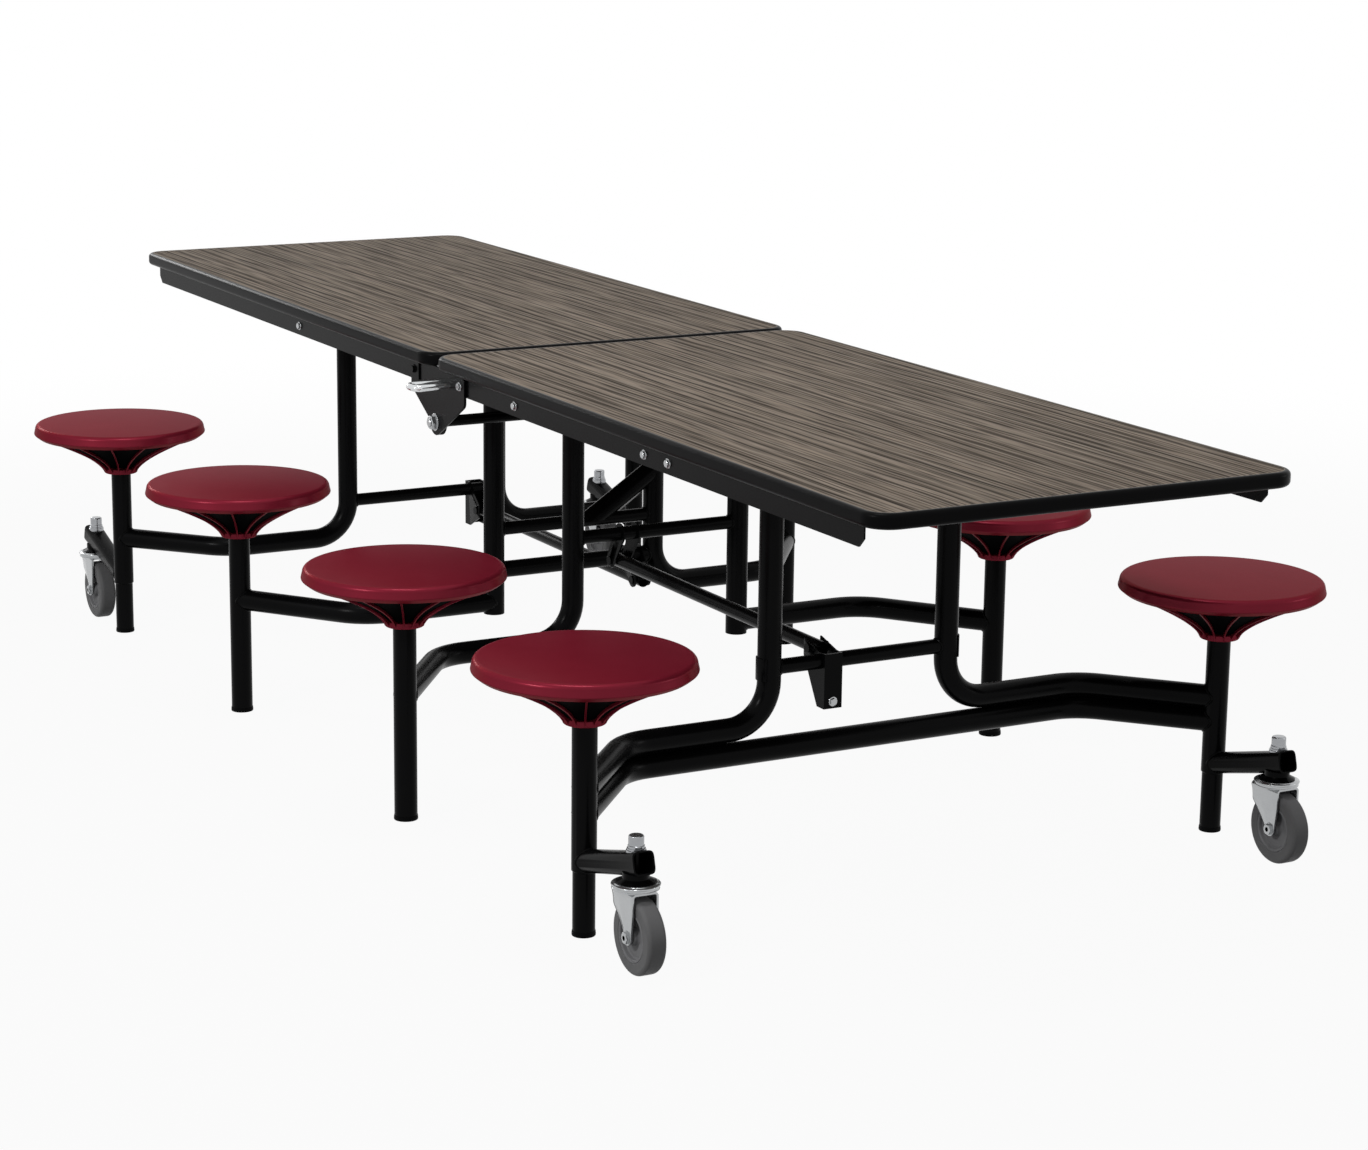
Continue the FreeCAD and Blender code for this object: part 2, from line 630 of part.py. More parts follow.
def foot_cap(x, y, tube_r, floor_z):
    """A cap over the foot of a post, flared at the floor, with a pocket for the tube."""
    half = CAP_HEIGHT / 2
    profile = [(0, 0), (tube_r + CAP_FLARE - CAP_FLARE / 2, 0), (tube_r + CAP_FLARE, CAP_FLARE),
               (tube_r + CAP_FLARE, half), (tube_r + CAP_FLARE / 2, CAP_HEIGHT), (tube_r, CAP_HEIGHT),
               (tube_r, half), (0, half)]
    return revolved(profile, Vec(x, y, floor_z))


def bent_centre_leg():
    """The front leg of the centre frame, bent outward and on to the front inner post."""
    middle = Vec(CENTRE_LEG_X, -(LEG_Y + INNER_BEND_Y) / 2, CENTRE_TUBE_Z)
    upper = bent_tube([Vec(CENTRE_LEG_X, -LEG_Y, PIVOT_Z + LEG_TOP_ABOVE_PIVOT),
                       Vec(CENTRE_LEG_X, -LEG_Y, CENTRE_TUBE_Z), middle], TUBE_R, TUBE_WALL, LEG_BEND_R)
    lower = bent_tube([middle, Vec(CENTRE_LEG_X, -INNER_BEND_Y, CENTRE_TUBE_Z),
                       Vec(INNER_POST_X, -POST_Y, CENTRE_TUBE_Z)], TUBE_R, TUBE_WALL, BRANCH_BEND_R)
    leg = upper.fuse(lower).removeSplitter()
    return leg.cut(post_solid(INNER_POST_X, -POST_Y)).cut(pivot_hole(CENTRE_LEG_X, -LEG_Y))


def straight_centre_leg():
    """The back leg of the centre frame, straight down to its closed end."""
    top = Vec(CENTRE_LEG_X, LEG_Y, PIVOT_Z + LEG_TOP_ABOVE_PIVOT)
    end = Vec(CENTRE_LEG_X, LEG_Y, STRAIGHT_LEG_END_Z)
    leg = straight_tube(top, end, TUBE_R, TUBE_WALL)
    plug = cylinder(TUBE_R, TUBE_WALL, end)
    return leg.fuse(plug).removeSplitter().cut(pivot_hole(CENTRE_LEG_X, LEG_Y))


def centre_branch():
    """The tube from the straight leg out to the back inner post."""
    branch = bent_tube([Vec(CENTRE_LEG_X, LEG_Y, CENTRE_TUBE_Z),
                        Vec(CENTRE_LEG_X, INNER_BEND_Y, CENTRE_TUBE_Z),
                        Vec(INNER_POST_X, POST_Y, CENTRE_TUBE_Z)], TUBE_R, TUBE_WALL, BRANCH_BEND_R)
    leg_round = cylinder(TUBE_R, TOP_HEIGHT, Vec(CENTRE_LEG_X, LEG_Y, 0))
    return branch.cut(leg_round).cut(post_solid(INNER_POST_X, POST_Y))


def stretcher(legs):
    """The lower bar between the legs of a centre frame, coped to them."""
    bar = straight_tube(Vec(CENTRE_LEG_X, -LEG_Y, STRETCHER_Z), Vec(CENTRE_LEG_X, LEG_Y, STRETCHER_Z),
                        STRETCHER_R, TUBE_WALL)
    for side in (-1, 1):
        bar = bar.cut(cylinder(TUBE_R, TOP_HEIGHT, Vec(CENTRE_LEG_X, side * LEG_Y, 0)))
    for leg in legs:
        bar = bar.cut(leg)
    return max(bar.Solids, key=lambda s: s.Volume)


# Casters of the near half

def caster_stem(side):
    """The stem through an arm with the plate below, and the washer with the closed nut on top."""
    x = STEM_X
    y = side * POST_Y
    start, end = caster_arm(side)
    arm_round = round_bar(start, end, ARM_R)
    plate_z = FORK_TOP_Z + RACE_HEIGHT + RACE_GAP
    step_z = plate_z + STEM_SEAT_GAP / 2
    nut_z = ARM_TIP_Z + ARM_R + STEM_WASHER_THICK
    cone = Part.makeCone(STEM_FLANGE_R, STEM_SEAT_R, step_z - plate_z, Vec(x, y, plate_z))
    neck = cylinder(STEM_SEAT_R, ARM_TIP_Z - step_z, Vec(x, y, step_z))
    foot = min(cone.fuse(neck).cut(arm_round).Solids, key=lambda s: s.BoundBox.ZMin)
    bolt = cylinder(STEM_R, nut_z - FORK_TOP_Z, Vec(x, y, FORK_TOP_Z))
    washer = cylinder(STEM_WASHER_R, nut_z - ARM_TIP_Z, Vec(x, y, ARM_TIP_Z)).cut(arm_round)
    nut = cylinder(STEM_NUT_R, STEM_NUT_THICK, Vec(x, y, nut_z))
    crown = [e for e in nut.Edges if e.CenterOfMass.z > nut_z + STEM_NUT_THICK / 2 and len(e.Vertexes) == 1]
    nut = nut.makeFillet(STEM_NUT_ROUND, crown)
    cap = max(washer.Solids, key=lambda s: s.BoundBox.ZMax).fuse(nut).removeSplitter().cut(bolt)
    return [foot.fuse(bolt).removeSplitter(), cap]


def caster_fork(side):
    """The swivel fork: a round race, a crown plate and two tapered legs, and the axle bolt."""
    x = STEM_X
    y = side * POST_Y
    axle_x = x + CASTER_TRAIL
    half_gap = WHEEL_WIDTH / 2 + FORK_GAP
    race_profile = [(0, 0), (RACE_R, 0), (RACE_R, RACE_HEIGHT * 2 / 3), (STEM_FLANGE_R, RACE_HEIGHT),
                    (0, RACE_HEIGHT)]
    fork = revolved(race_profile, Vec(x, y, FORK_TOP_Z))
    half_crown = FORK_CROWN_WIDTH / 2
    crown = box_between(Vec(x - half_crown, y - half_gap - FORK_WALL, FORK_TOP_Z - FORK_WALL),
                        Vec(x + half_crown, y + half_gap + FORK_WALL, FORK_TOP_Z))
    fork = fork.fuse(crown)
    outline = [(x - half_crown, FORK_TOP_Z), (x + half_crown, FORK_TOP_Z),
               (axle_x + FORK_EYE_R, WHEEL_R), (axle_x - FORK_EYE_R, WHEEL_R)]
    for leg_y in (y - half_gap - FORK_WALL, y + half_gap):
        leg = plate_in_xz(outline, leg_y, FORK_WALL)
        leg = leg.fuse(cylinder(FORK_EYE_R, FORK_WALL, Vec(axle_x, leg_y, WHEEL_R), Y_AXIS))
        fork = fork.fuse(leg)
    stem_hole = cylinder(STEM_R + STEM_CLEARANCE, RACE_HEIGHT + FORK_WALL + OVERRUN * 2,
                         Vec(x, y, FORK_TOP_Z - FORK_WALL - OVERRUN))
    fork = fork.removeSplitter().cut(stem_hole)
    reach = half_gap + FORK_WALL
    axle = cylinder(AXLE_R, reach * 2, Vec(axle_x, y - reach, WHEEL_R), Y_AXIS)
    fork = fork.cut(axle)
    for end in (-1, 1):
        head = six_sided(AXLE_HEAD_R, AXLE_HEAD_THICK, Vec(axle_x, y + end * reach, WHEEL_R), Vec(0, end, 0))
        axle = axle.fuse(head)
    return [fork, axle.removeSplitter()]


def wheel_ring(profile, side):
    """A ring turned about a wheel's axle from (radius, distance from the middle) points."""
    ring = revolved(profile, Vec(0, 0, 0))
    ring.rotate(Vec(0, 0, 0), X_AXIS, 90)
    ring.translate(Vec(STEM_X + CASTER_TRAIL, side * POST_Y, WHEEL_R))
    return ring


def caster_tyre(side):
    """The rubber tyre with bevelled shoulders."""
    half = WHEEL_WIDTH / 2
    shoulder = TYRE_EDGE_R / 2
    profile = [(HUB_R, -half), (WHEEL_R - TYRE_EDGE_R, -half), (WHEEL_R - shoulder / 2, -half + shoulder),
               (WHEEL_R, -half + TYRE_EDGE_R), (WHEEL_R, half - TYRE_EDGE_R),
               (WHEEL_R - shoulder / 2, half - shoulder), (WHEEL_R - TYRE_EDGE_R, half), (HUB_R, half)]
    return wheel_ring(profile, side)


def caster_hub(side):
    """The hub: a boss on the axle, a thin web and a rim in the tyre."""
    half = WHEEL_WIDTH / 2
    web = HUB_WEB_WIDTH / 2
    bore = AXLE_R + AXLE_CLEARANCE
    rim = HUB_R - HUB_RIM_WALL
    profile = [(bore, -half), (HUB_BOSS_R, -half), (HUB_BOSS_R, -web), (rim, -web), (rim, -half),
               (HUB_R, -half), (HUB_R, half), (rim, half), (rim, web), (HUB_BOSS_R, web),
               (HUB_BOSS_R, half), (bore, half)]
    return wheel_ring(profile, side)


# Seats

def seat_shell():
    """The moulded seat about Z through the origin: skin, rim, socket and collar, without its ribs."""
    top = SEAT_TOP_Z
    edge = top - SEAT_EDGE_R
    rise = SEAT_CROWN
    rim_in = SEAT_R - SEAT_EDGE_R
    flat = Part.LineSegment(Vec(0, 0, top), Vec(SEAT_FLAT_R, 0, top)).toShape()
    crown = Part.Arc(Vec(SEAT_FLAT_R, 0, top), Vec((SEAT_FLAT_R + rim_in) / 2, 0, top - rise / 4),
                     Vec(rim_in, 0, top - rise)).toShape()
    corner = math.sin(math.radians(45)) * SEAT_EDGE_R
    bend = Part.Arc(Vec(rim_in, 0, top - rise), Vec(rim_in + corner, 0, edge - rise + corner),
                    Vec(SEAT_R, 0, edge - rise)).toShape()
    socket_r = TUBE_R + SOCKET_CLEARANCE
    socket_top = POST_TOP_Z + SOCKET_CLEARANCE
    bottom = SEAT_BOTTOM_Z
    collar_top = bottom + COLLAR_HEIGHT
    inner_r = socket_r + SOCKET_WALL
    lip_z = top - SEAT_RIM_HEIGHT
    skin_z = top - rise - SEAT_SKIN
    lip_r = SEAT_R - SEAT_BEVEL
    profile = [(SEAT_R, edge - rise), (SEAT_R, top - SEAT_SIDE_HEIGHT), (lip_r, lip_z),
               (lip_r - SEAT_SKIN, lip_z),
               (SEAT_R - SEAT_SKIN * 2, top - SEAT_SIDE_HEIGHT), (SEAT_R - SEAT_SKIN * 2, skin_z),
               (inner_r, skin_z), (inner_r, collar_top), (COLLAR_R - COLLAR_STEP / 2, collar_top),
               (COLLAR_R, collar_top - COLLAR_STEP), (COLLAR_R, bottom + COLLAR_STEP),
               (COLLAR_R - COLLAR_STEP, bottom), (socket_r, bottom), (socket_r, socket_top),
               (0, socket_top), (0, top)]
    corners = [Vec(r, 0, z) for r, z in profile]
    edges = [flat, crown, bend]
    for start, end in zip(corners, corners[1:]):
        edges.append(Part.LineSegment(start, end).toShape())
    return Part.Face(Part.Wire(edges)).revolve(Vec(0, 0, 0), Z_AXIS, 360)


def seat_rib():
    """One thin rib under the skin, from the rim in to the socket and down to the collar, in the XZ plane."""
    inner_r = TUBE_R + SOCKET_CLEARANCE + SOCKET_WALL / 2
    top_z = SEAT_TOP_Z - SEAT_CROWN - SEAT_SKIN / 2
    rim_r = SEAT_R - SEAT_SKIN * 3 / 2
    rim_z = SEAT_TOP_Z - SEAT_SIDE_HEIGHT + SEAT_SKIN / 2
    collar_z = SEAT_BOTTOM_Z + COLLAR_HEIGHT
    foot_r = COLLAR_R - COLLAR_STEP / 2
    outline = [(inner_r, top_z), (rim_r, top_z), (rim_r, rim_z), (SEAT_PAN_R, SEAT_TOP_Z - SEAT_PAN_DROP),
               (SEAT_WAIST_R, SEAT_TOP_Z - SEAT_WAIST_DROP), (foot_r, collar_z),
               (inner_r, collar_z - COLLAR_STEP / 2)]
    return plate_in_xz(outline, -RIB_THICK / 2, RIB_THICK)


def seat():
    """One whole seat about Z through the origin."""
    ribs = []
    for k in range(RIB_COUNT):
        rib = seat_rib()
        rib.rotate(Vec(0, 0, 0), Z_AXIS, 360 * k / RIB_COUNT)
        ribs.append(rib)
    return seat_shell().fuse(ribs).removeSplitter()


# All nodes

def near_pieces():
    """The nodes of the near half that have a twin on the far half, by the end of their name."""
    board, laminate = board_and_laminate()
    rail = side_rail()
    front_plate_y = -RAIL_FACE_Y - HINGE_PLATE_THICK
    back_plate_y = RAIL_FACE_Y - RAIL_WALL - HINGE_PLATE_THICK
    front_plate = hinge_plate(front_plate_y, HINGE_PLATE_BACK, HINGE_BACK_RISE).cut(handle_holes())
    back_plate = hinge_plate(back_plate_y, HINGE_INNER_BACK, HINGE_BACK_RISE)
    screws = [rail_screw(x, -1) for x in FRONT_SCREW_PLACES] + [rail_screw(x, 1) for x in BACK_SCREW_PLACES]
    screws += [rail_screw(HINGE_BOLT_PLACE, -1, HINGE_PLATE_THICK), rail_screw(HINGE_BOLT_PLACE, 1)]
    rails = [piece.cut(screws) for piece in (rail, mirrored_y(rail))]
    plates = [piece.cut(screws) for piece in (front_plate, back_plate)]
    pivots = []
    for x in (END_LEG_X, CENTRE_LEG_X):
        for side in (-1, 1):
            pivots += leg_pivot(x, side * LEG_Y)
    posts = [end_post(side) for side in (-1, 1)]
    end_caps = [foot_cap(END_POST_X, side * POST_Y, END_POST_FOOT_R, END_FOOT_CLEAR) for side in (-1, 1)]
    inner_caps = [foot_cap(INNER_POST_X, side * POST_Y, TUBE_R, 0) for side in (-1, 1)]
    return {
        "top_board": [board],
        "top_laminate": [laminate],
        "edge_band": [edge_band()],
        "side_rails": rails,
        "hinge_plates": plates,
        "leg_pivots": pivots,
        "rail_screws": screws,
        "end_posts": posts,
        "end_foot_caps": end_caps,
        "caster_stems": caster_stem(-1) + caster_stem(1),
        "centre_legs": [bent_centre_leg(), straight_centre_leg(), centre_branch()],
        "inner_posts": [inner_post(side) for side in (-1, 1)],
        "inner_foot_caps": inner_caps,
    }


def near_tie_pieces():
    """The crossbars with their brackets and the tie bar of the near half."""
    hanger = centre_hanger(TIE_Y_NEAR, TIE_Z_NEAR, NEAR_CROSSBAR_Z, BAR_R)
    saddle = end_saddle(TIE_Y_NEAR, TIE_Z_NEAR, END_CROSSBAR_Z)
    return {
        "near_end_crossbar": [crossbar(END_LEG_X, END_CROSSBAR_Z)] + saddle,
        "near_centre_crossbar": [crossbar(CENTRE_LEG_X, NEAR_CROSSBAR_Z)] + hanger,
        "near_tie_bar": [tie_bar(TIE_Y_NEAR, TIE_Z_NEAR)],
    }


def far_tie_pieces(bent_leg):
    """The same for the far half, before it is turned. Its tie bar is lower and hangs from a stretcher."""
    tie_y = -TIE_Y_FAR
    hanger = centre_hanger(tie_y, TIE_Z_FAR, STRETCHER_Z, STRETCHER_R)
    saddle = end_saddle(tie_y, TIE_Z_FAR, FAR_END_CROSSBAR_Z)
    return {
        "far_end_crossbar": [crossbar(END_LEG_X, FAR_END_CROSSBAR_Z)] + saddle,
        "far_centre_crossbar": [crossbar(CENTRE_LEG_X, FAR_CROSSBAR_Z), centre_brace(FAR_CROSSBAR_Z)],
        "far_centre_stretcher": [stretcher([bent_leg])] + hanger,
        "far_tie_bar": [tie_bar(tie_y, TIE_Z_FAR)],
    }


def caster_pieces(name, side, shift):
    """The nodes of one caster, moved along the table by a shift. All four trail towards the near end."""
    pieces = {"fork": caster_fork(side), "tyre": [caster_tyre(side)], "hub": [caster_hub(side)]}
    for shapes in pieces.values():
        for shape in shapes:
            shape.translate(Vec(shift, 0, 0))
    return {name + "_" + key: shapes for key, shapes in pieces.items()}


def all_nodes():
    """Every node by name, each a list of separate solids."""
    nodes = {}
    for key, shapes in near_pieces().items():
        nodes["near_" + key] = shapes
        nodes["far_" + key] = [turned(s) for s in shapes]
    near_leg = end_leg(END_TUBE_Z)
    far_leg = turned(end_leg(FAR_END_TUBE_Z))
    nodes["near_end_legs"] = [near_leg, mirrored_y(near_leg)]
    nodes["far_end_legs"] = [far_leg, mirrored_y(far_leg)]
    nodes["near_end_bow"] = [end_bow()]
    nodes.update(near_tie_pieces())
    for name, shapes in far_tie_pieces(nodes["near_centre_legs"][0]).items():
        nodes[name] = [turned(s) for s in shapes]
    nodes["near_hinge_shaft"] = hinge_shaft()
    nodes["near_handle_guide"] = [handle_guide()]
    nodes["release_handle"] = [release_handle()]
    one_seat = seat()
    for end, sign in (("near", 1), ("far", -1)):
        for row, side in (("front", -1), ("back", 1)):
            nodes.update(caster_pieces("caster_" + end + "_" + row, side, (sign - 1) * STEM_X))
            for place, x in (("end", END_POST_X), ("inner", INNER_POST_X)):
                copy = one_seat.copy()
                copy.translate(Vec(sign * x, side * POST_Y, 0))
                nodes["seat_" + end + "_" + place + "_" + row] = [copy]
    return nodes


def main():
    os.makedirs("parts", exist_ok=True)
    nodes = all_nodes()
    for name, shapes in nodes.items():
        shape = shapes[0] if len(shapes) == 1 else Part.makeCompound(shapes)
        shape.exportStep("parts/" + name + ".step")
    print(len(nodes), "nodes written")


main()
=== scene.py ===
# %% [markdown]
# # A folding dining table with eight attached seats
# The real object is a mobile table for school dining halls: two laminate-covered halves that fold up at a
# centre hinge, four bent-tube leg frames, eight moulded seats on posts and four casters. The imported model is
# the fixed frame. It holds every piece at its real size and place, in metres, so each piece that is made
# here goes where the frame says and needs no fitting.

# %% Load the frame
import json
import math

import bmesh
import bpy
from mathutils import Matrix, Vector

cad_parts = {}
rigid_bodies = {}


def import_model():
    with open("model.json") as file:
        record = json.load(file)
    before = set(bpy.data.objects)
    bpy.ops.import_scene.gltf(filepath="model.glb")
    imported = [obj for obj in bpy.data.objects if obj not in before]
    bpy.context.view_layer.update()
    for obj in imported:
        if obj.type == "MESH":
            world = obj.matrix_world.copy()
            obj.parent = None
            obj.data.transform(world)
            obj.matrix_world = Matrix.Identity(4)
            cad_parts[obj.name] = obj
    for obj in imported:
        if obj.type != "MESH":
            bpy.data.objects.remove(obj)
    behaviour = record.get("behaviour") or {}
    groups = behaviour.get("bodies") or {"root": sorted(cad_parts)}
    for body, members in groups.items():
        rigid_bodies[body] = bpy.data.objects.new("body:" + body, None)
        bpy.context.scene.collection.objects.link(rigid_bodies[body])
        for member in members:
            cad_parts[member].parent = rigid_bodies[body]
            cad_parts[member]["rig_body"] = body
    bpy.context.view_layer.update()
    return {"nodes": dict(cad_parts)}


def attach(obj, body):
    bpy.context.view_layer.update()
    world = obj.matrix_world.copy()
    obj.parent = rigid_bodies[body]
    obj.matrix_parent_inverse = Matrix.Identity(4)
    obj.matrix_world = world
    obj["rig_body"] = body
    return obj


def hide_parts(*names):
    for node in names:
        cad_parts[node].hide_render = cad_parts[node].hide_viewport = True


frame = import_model()
scene = bpy.context.scene
scene.view_settings.view_transform = "Standard"
MM = 0.001

# %% [markdown]
# ## Camera
# The picture was taken with a long lens from beyond the near corner, a little above the top. The numbers
# come from a fit of the corners of the top, the seats and the feet, so the picture's lines fall on the
# model's lines. The upright posts lean a little in the picture, which gives the small roll. The fit gives the
# focal length in pixels, and the share of it in the picture's width, times a 36 mm sensor, is the lens.

# %% The camera
IMAGE_WIDTH_PX = 1368
FOCAL_PX = 3285.7
SENSOR_MM = 36
CAMERA_PLACE = (5.3842, -2.7943, 1.7094)
CAMERA_HEADING_DEG = 151.32
CAMERA_DOWN_DEG = 13.17
CAMERA_ROLL_DEG = 0.7
RIGHT_ANGLE_DEG = 90

lens = bpy.data.cameras.new("picture_lens")
lens.sensor_fit = "HORIZONTAL"
lens.sensor_width = SENSOR_MM
lens.lens = FOCAL_PX / IMAGE_WIDTH_PX * SENSOR_MM
camera = bpy.data.objects.new("picture_camera", lens)
camera.location = CAMERA_PLACE
heading = Matrix.Rotation(math.radians(CAMERA_HEADING_DEG - RIGHT_ANGLE_DEG), 4, "Z")
tilt = Matrix.Rotation(math.radians(RIGHT_ANGLE_DEG - CAMERA_DOWN_DEG), 4, "X")
roll = Matrix.Rotation(math.radians(CAMERA_ROLL_DEG), 4, "Z")
camera.rotation_euler = (heading @ tilt @ roll).to_euler()
scene.collection.objects.link(camera)
scene.camera = camera
print("lens", round(lens.lens, 2), "mm")

# %% [markdown]
# ## Helpers for nodes and colours
# Every finish below is a small net of nodes. One function adds a node, sets what it is told and links what
# it is given. Colours are written as sRGB hex values, as a colour picker shows them, and turned to the
# linear numbers that the shaders want. Most finishes are built alike: one noise shifts the tone, one the
# gloss and one the relief, each at a real size. So one function builds that net, and a finish is then a
# short list of what the eye sees.

# %% Nodes and colours
SRGB_KNEE = 0.04045
SRGB_SLOPE = 12.92
SRGB_OFFSET = 0.055
SRGB_POWER = 2.4
BYTE_MAX = 255
HEX_BASE = 16
FLOOR_COLOUR = "#8C8C8C"


def linear(hex_text):
    """A colour of four linear numbers from an sRGB hex value."""
    channels = []
    for start in (1, 3, 5):
        value = int(hex_text[start:start + 2], HEX_BASE) / BYTE_MAX
        if value <= SRGB_KNEE:
            channels.append(value / SRGB_SLOPE)
        else:
            channels.append(((value + SRGB_OFFSET) / (1 + SRGB_OFFSET)) ** SRGB_POWER)
    return (*channels, 1)


def add_node(tree, kind, inputs=None, **settings):
    """One node with its settings. An input is a value, a socket to link from, or a node's first output."""
    node = tree.nodes.new(kind)
    for key, value in settings.items():
        setattr(node, key, value)
    for key, value in (inputs or {}).items():
        if isinstance(value, bpy.types.Node):
            value = value.outputs[0]
        if isinstance(value, bpy.types.NodeSocket):
            tree.links.new(value, node.inputs[key])
        else:
            node.inputs[key].default_value = value
    return node


def per_metre(size_mm):
    """How many times a pattern of this size repeats in a metre."""
    return 1 / (size_mm * MM)


print("the floor's grey", FLOOR_COLOUR, "is", linear(FLOOR_COLOUR))

# %% A finish from noises
# A Mix node has several sockets of each name, so those of its colours are found by number.
MIX_SHARE = 0
MIX_FIRST = 6
MIX_SECOND = 7
MIX_RESULT = 2


def new_finish(name):
    """An empty material with its tree and the coordinates of the piece."""
    material = bpy.data.materials.new(name)
    material.use_nodes = True
    tree = material.node_tree
    tree.nodes.clear()
    return material, tree, add_node(tree, "ShaderNodeTexCoord").outputs["Object"]


def shade_finish(tree, sockets):
    """The shader of a finish, with its sockets set or linked, and the output."""
    shader = add_node(tree, "ShaderNodeBsdfPrincipled", sockets)
    add_node(tree, "ShaderNodeOutputMaterial", {"Surface": shader})


def noise_finish(name, colours, rough, rough_noise, tone_noise=None, bump_noise=None, bump_strength=0,
                 bump_depth_mm=0, sockets=None):
    """A finish whose tone, gloss and relief follow noises, each of (size in mm, detail, roughness)."""
    material, tree, place = new_finish(name)
    noises = {}
    for noise in filter(None, (tone_noise, rough_noise, bump_noise)):
        size_mm, detail, roughness = noise
        if noise not in noises:
            noises[noise] = add_node(tree, "ShaderNodeTexNoise",
                                     {"Vector": place, "Scale": per_metre(size_mm), "Detail": detail,
                                      "Roughness": roughness})
    gloss = add_node(tree, "ShaderNodeMapRange",
                     {"Value": noises[rough_noise], "To Min": rough[0], "To Max": rough[1]})
    inputs = {"Base Color": linear(colours[0]), "Roughness": gloss, **(sockets or {})}
    if tone_noise:
        tone = add_node(tree, "ShaderNodeMix",
                        {MIX_SHARE: noises[tone_noise], MIX_FIRST: linear(colours[0]),
                         MIX_SECOND: linear(colours[1])}, data_type="RGBA")
        inputs["Base Color"] = tone.outputs[MIX_RESULT]
    if bump_noise:
        inputs["Normal"] = add_node(tree, "ShaderNodeBump",
                                    {"Height": noises[bump_noise], "Strength": bump_strength,
                                     "Distance": bump_depth_mm * MM})
    shade_finish(tree, inputs)
    print("finish", name)
    return material


# %% [markdown]
# ## Floor and light
# The picture is a studio cut-out on white. A wide pale floor fills the frame, and part of its brightness to
# the camera is its own, so that it reads as white and still keeps the shadow. The light is plain: a soft lamp
# from the left, where the long side with four seats faces it, a weaker one overhead, two low ones from the
# right and from behind, and an even pale world. The lamps are small and the finishes have little gloss, so
# that edges and tubes show a crisp line of light and the dark faces stay dark in a white room.

# %% Floor
FLOOR_HALF = 60
FLOOR_OWN_SHARE = 0.95
FLOOR_NEAR = 2.0
FLOOR_FAR = 4.5
WHITE = linear("#FFFFFF")


def seen_directly(tree):
    """1 for rays that look at a thing directly, in a mirror or through glass, and 0 for light on its way."""
    path = add_node(tree, "ShaderNodeLightPath")
    total = path.outputs["Is Camera Ray"]
    for other in ("Is Glossy Ray", "Is Transmission Ray"):
        total = add_node(tree, "ShaderNodeMath", {0: total, 1: path.outputs[other]}, operation="MAXIMUM")
    return total


def pale_floor():
    """Matt pale vinyl, partly bright of its own to the camera, and wholly so away from the table."""
    material, tree, place = new_finish("pale_studio_floor")
    matt = add_node(tree, "ShaderNodeBsdfDiffuse", {"Color": linear(FLOOR_COLOUR)})
    glow = add_node(tree, "ShaderNodeEmission", {"Color": WHITE, "Strength": 1.0})
    distance = add_node(tree, "ShaderNodeVectorMath", {0: place}, operation="LENGTH").outputs["Value"]
    own = add_node(tree, "ShaderNodeMapRange",
                   {"Value": distance, "From Min": FLOOR_NEAR, "From Max": FLOOR_FAR,
                    "To Min": FLOOR_OWN_SHARE, "To Max": 1.0}, interpolation_type="SMOOTHSTEP")
    share = add_node(tree, "ShaderNodeMath", {0: seen_directly(tree), 1: own}, operation="MULTIPLY")
    mixed = add_node(tree, "ShaderNodeMixShader", {0: share, 1: matt, 2: glow})
    add_node(tree, "ShaderNodeOutputMaterial", {"Surface": mixed})
    return material


floor_mesh = bpy.data.meshes.new("studio_floor")
corners = [(-FLOOR_HALF, -FLOOR_HALF, 0), (FLOOR_HALF, -FLOOR_HALF, 0),
           (FLOOR_HALF, FLOOR_HALF, 0), (-FLOOR_HALF, FLOOR_HALF, 0)]
floor_mesh.from_pydata(corners, [], [(0, 1, 2, 3)])
floor_mesh.materials.append(pale_floor())
floor = bpy.data.objects.new("studio_floor", floor_mesh)
scene.collection.objects.link(floor)
print("floor", 2 * FLOOR_HALF, "m wide")

# %% World and lamps
# Places and sizes are in metres.
WORLD_STRENGTH = 0.2
LAMPS = {
    "left": {"place": (1.6, -5.2, 3.6), "aim": (0, 0, 0.4), "width": 1.1, "height": 0.6, "watts": 95},
    "overhead": {"place": (0.9, -0.9, 4.4), "aim": (0, 0, 0), "width": 1.2, "height": 0.5, "watts": 48},
    "right": {"place": (3.4, 4.6, 1.8), "aim": (0.4, 0, 0.4), "width": 1.4, "height": 0.7, "watts": 18},
    "back": {"place": (-5.4, -0.6, 2.1), "aim": (0.4, -0.4, 0.45), "width": 1.6, "height": 0.8, "watts": 38},
}


def soft_lamp(name, place, aim, width, height, watts):
    """A rectangular soft lamp that points at a spot."""
    light = bpy.data.lights.new(name, "AREA")
    light.shape = "RECTANGLE"
    light.size = width
    light.size_y = height
    light.energy = watts
    lamp = bpy.data.objects.new(name, light)
    lamp.location = place
    lamp.rotation_euler = (Vector(aim) - Vector(place)).to_track_quat("-Z", "Y").to_euler()
    scene.collection.objects.link(lamp)


world = bpy.data.worlds.new("pale_studio")
scene.world = world
world.use_nodes = True
sky = world.node_tree
sky.nodes.clear()
even = add_node(sky, "ShaderNodeBackground", {"Color": WHITE, "Strength": WORLD_STRENGTH})
white = add_node(sky, "ShaderNodeBackground", {"Color": WHITE, "Strength": 1.0})
both = add_node(sky, "ShaderNodeMixShader", {0: seen_directly(sky), 1: even, 2: white})
add_node(sky, "ShaderNodeOutputWorld", {"Surface": both})
for side, settings in LAMPS.items():
    soft_lamp(side + "_softbox", **settings)
print("world and", len(LAMPS), "lamps")

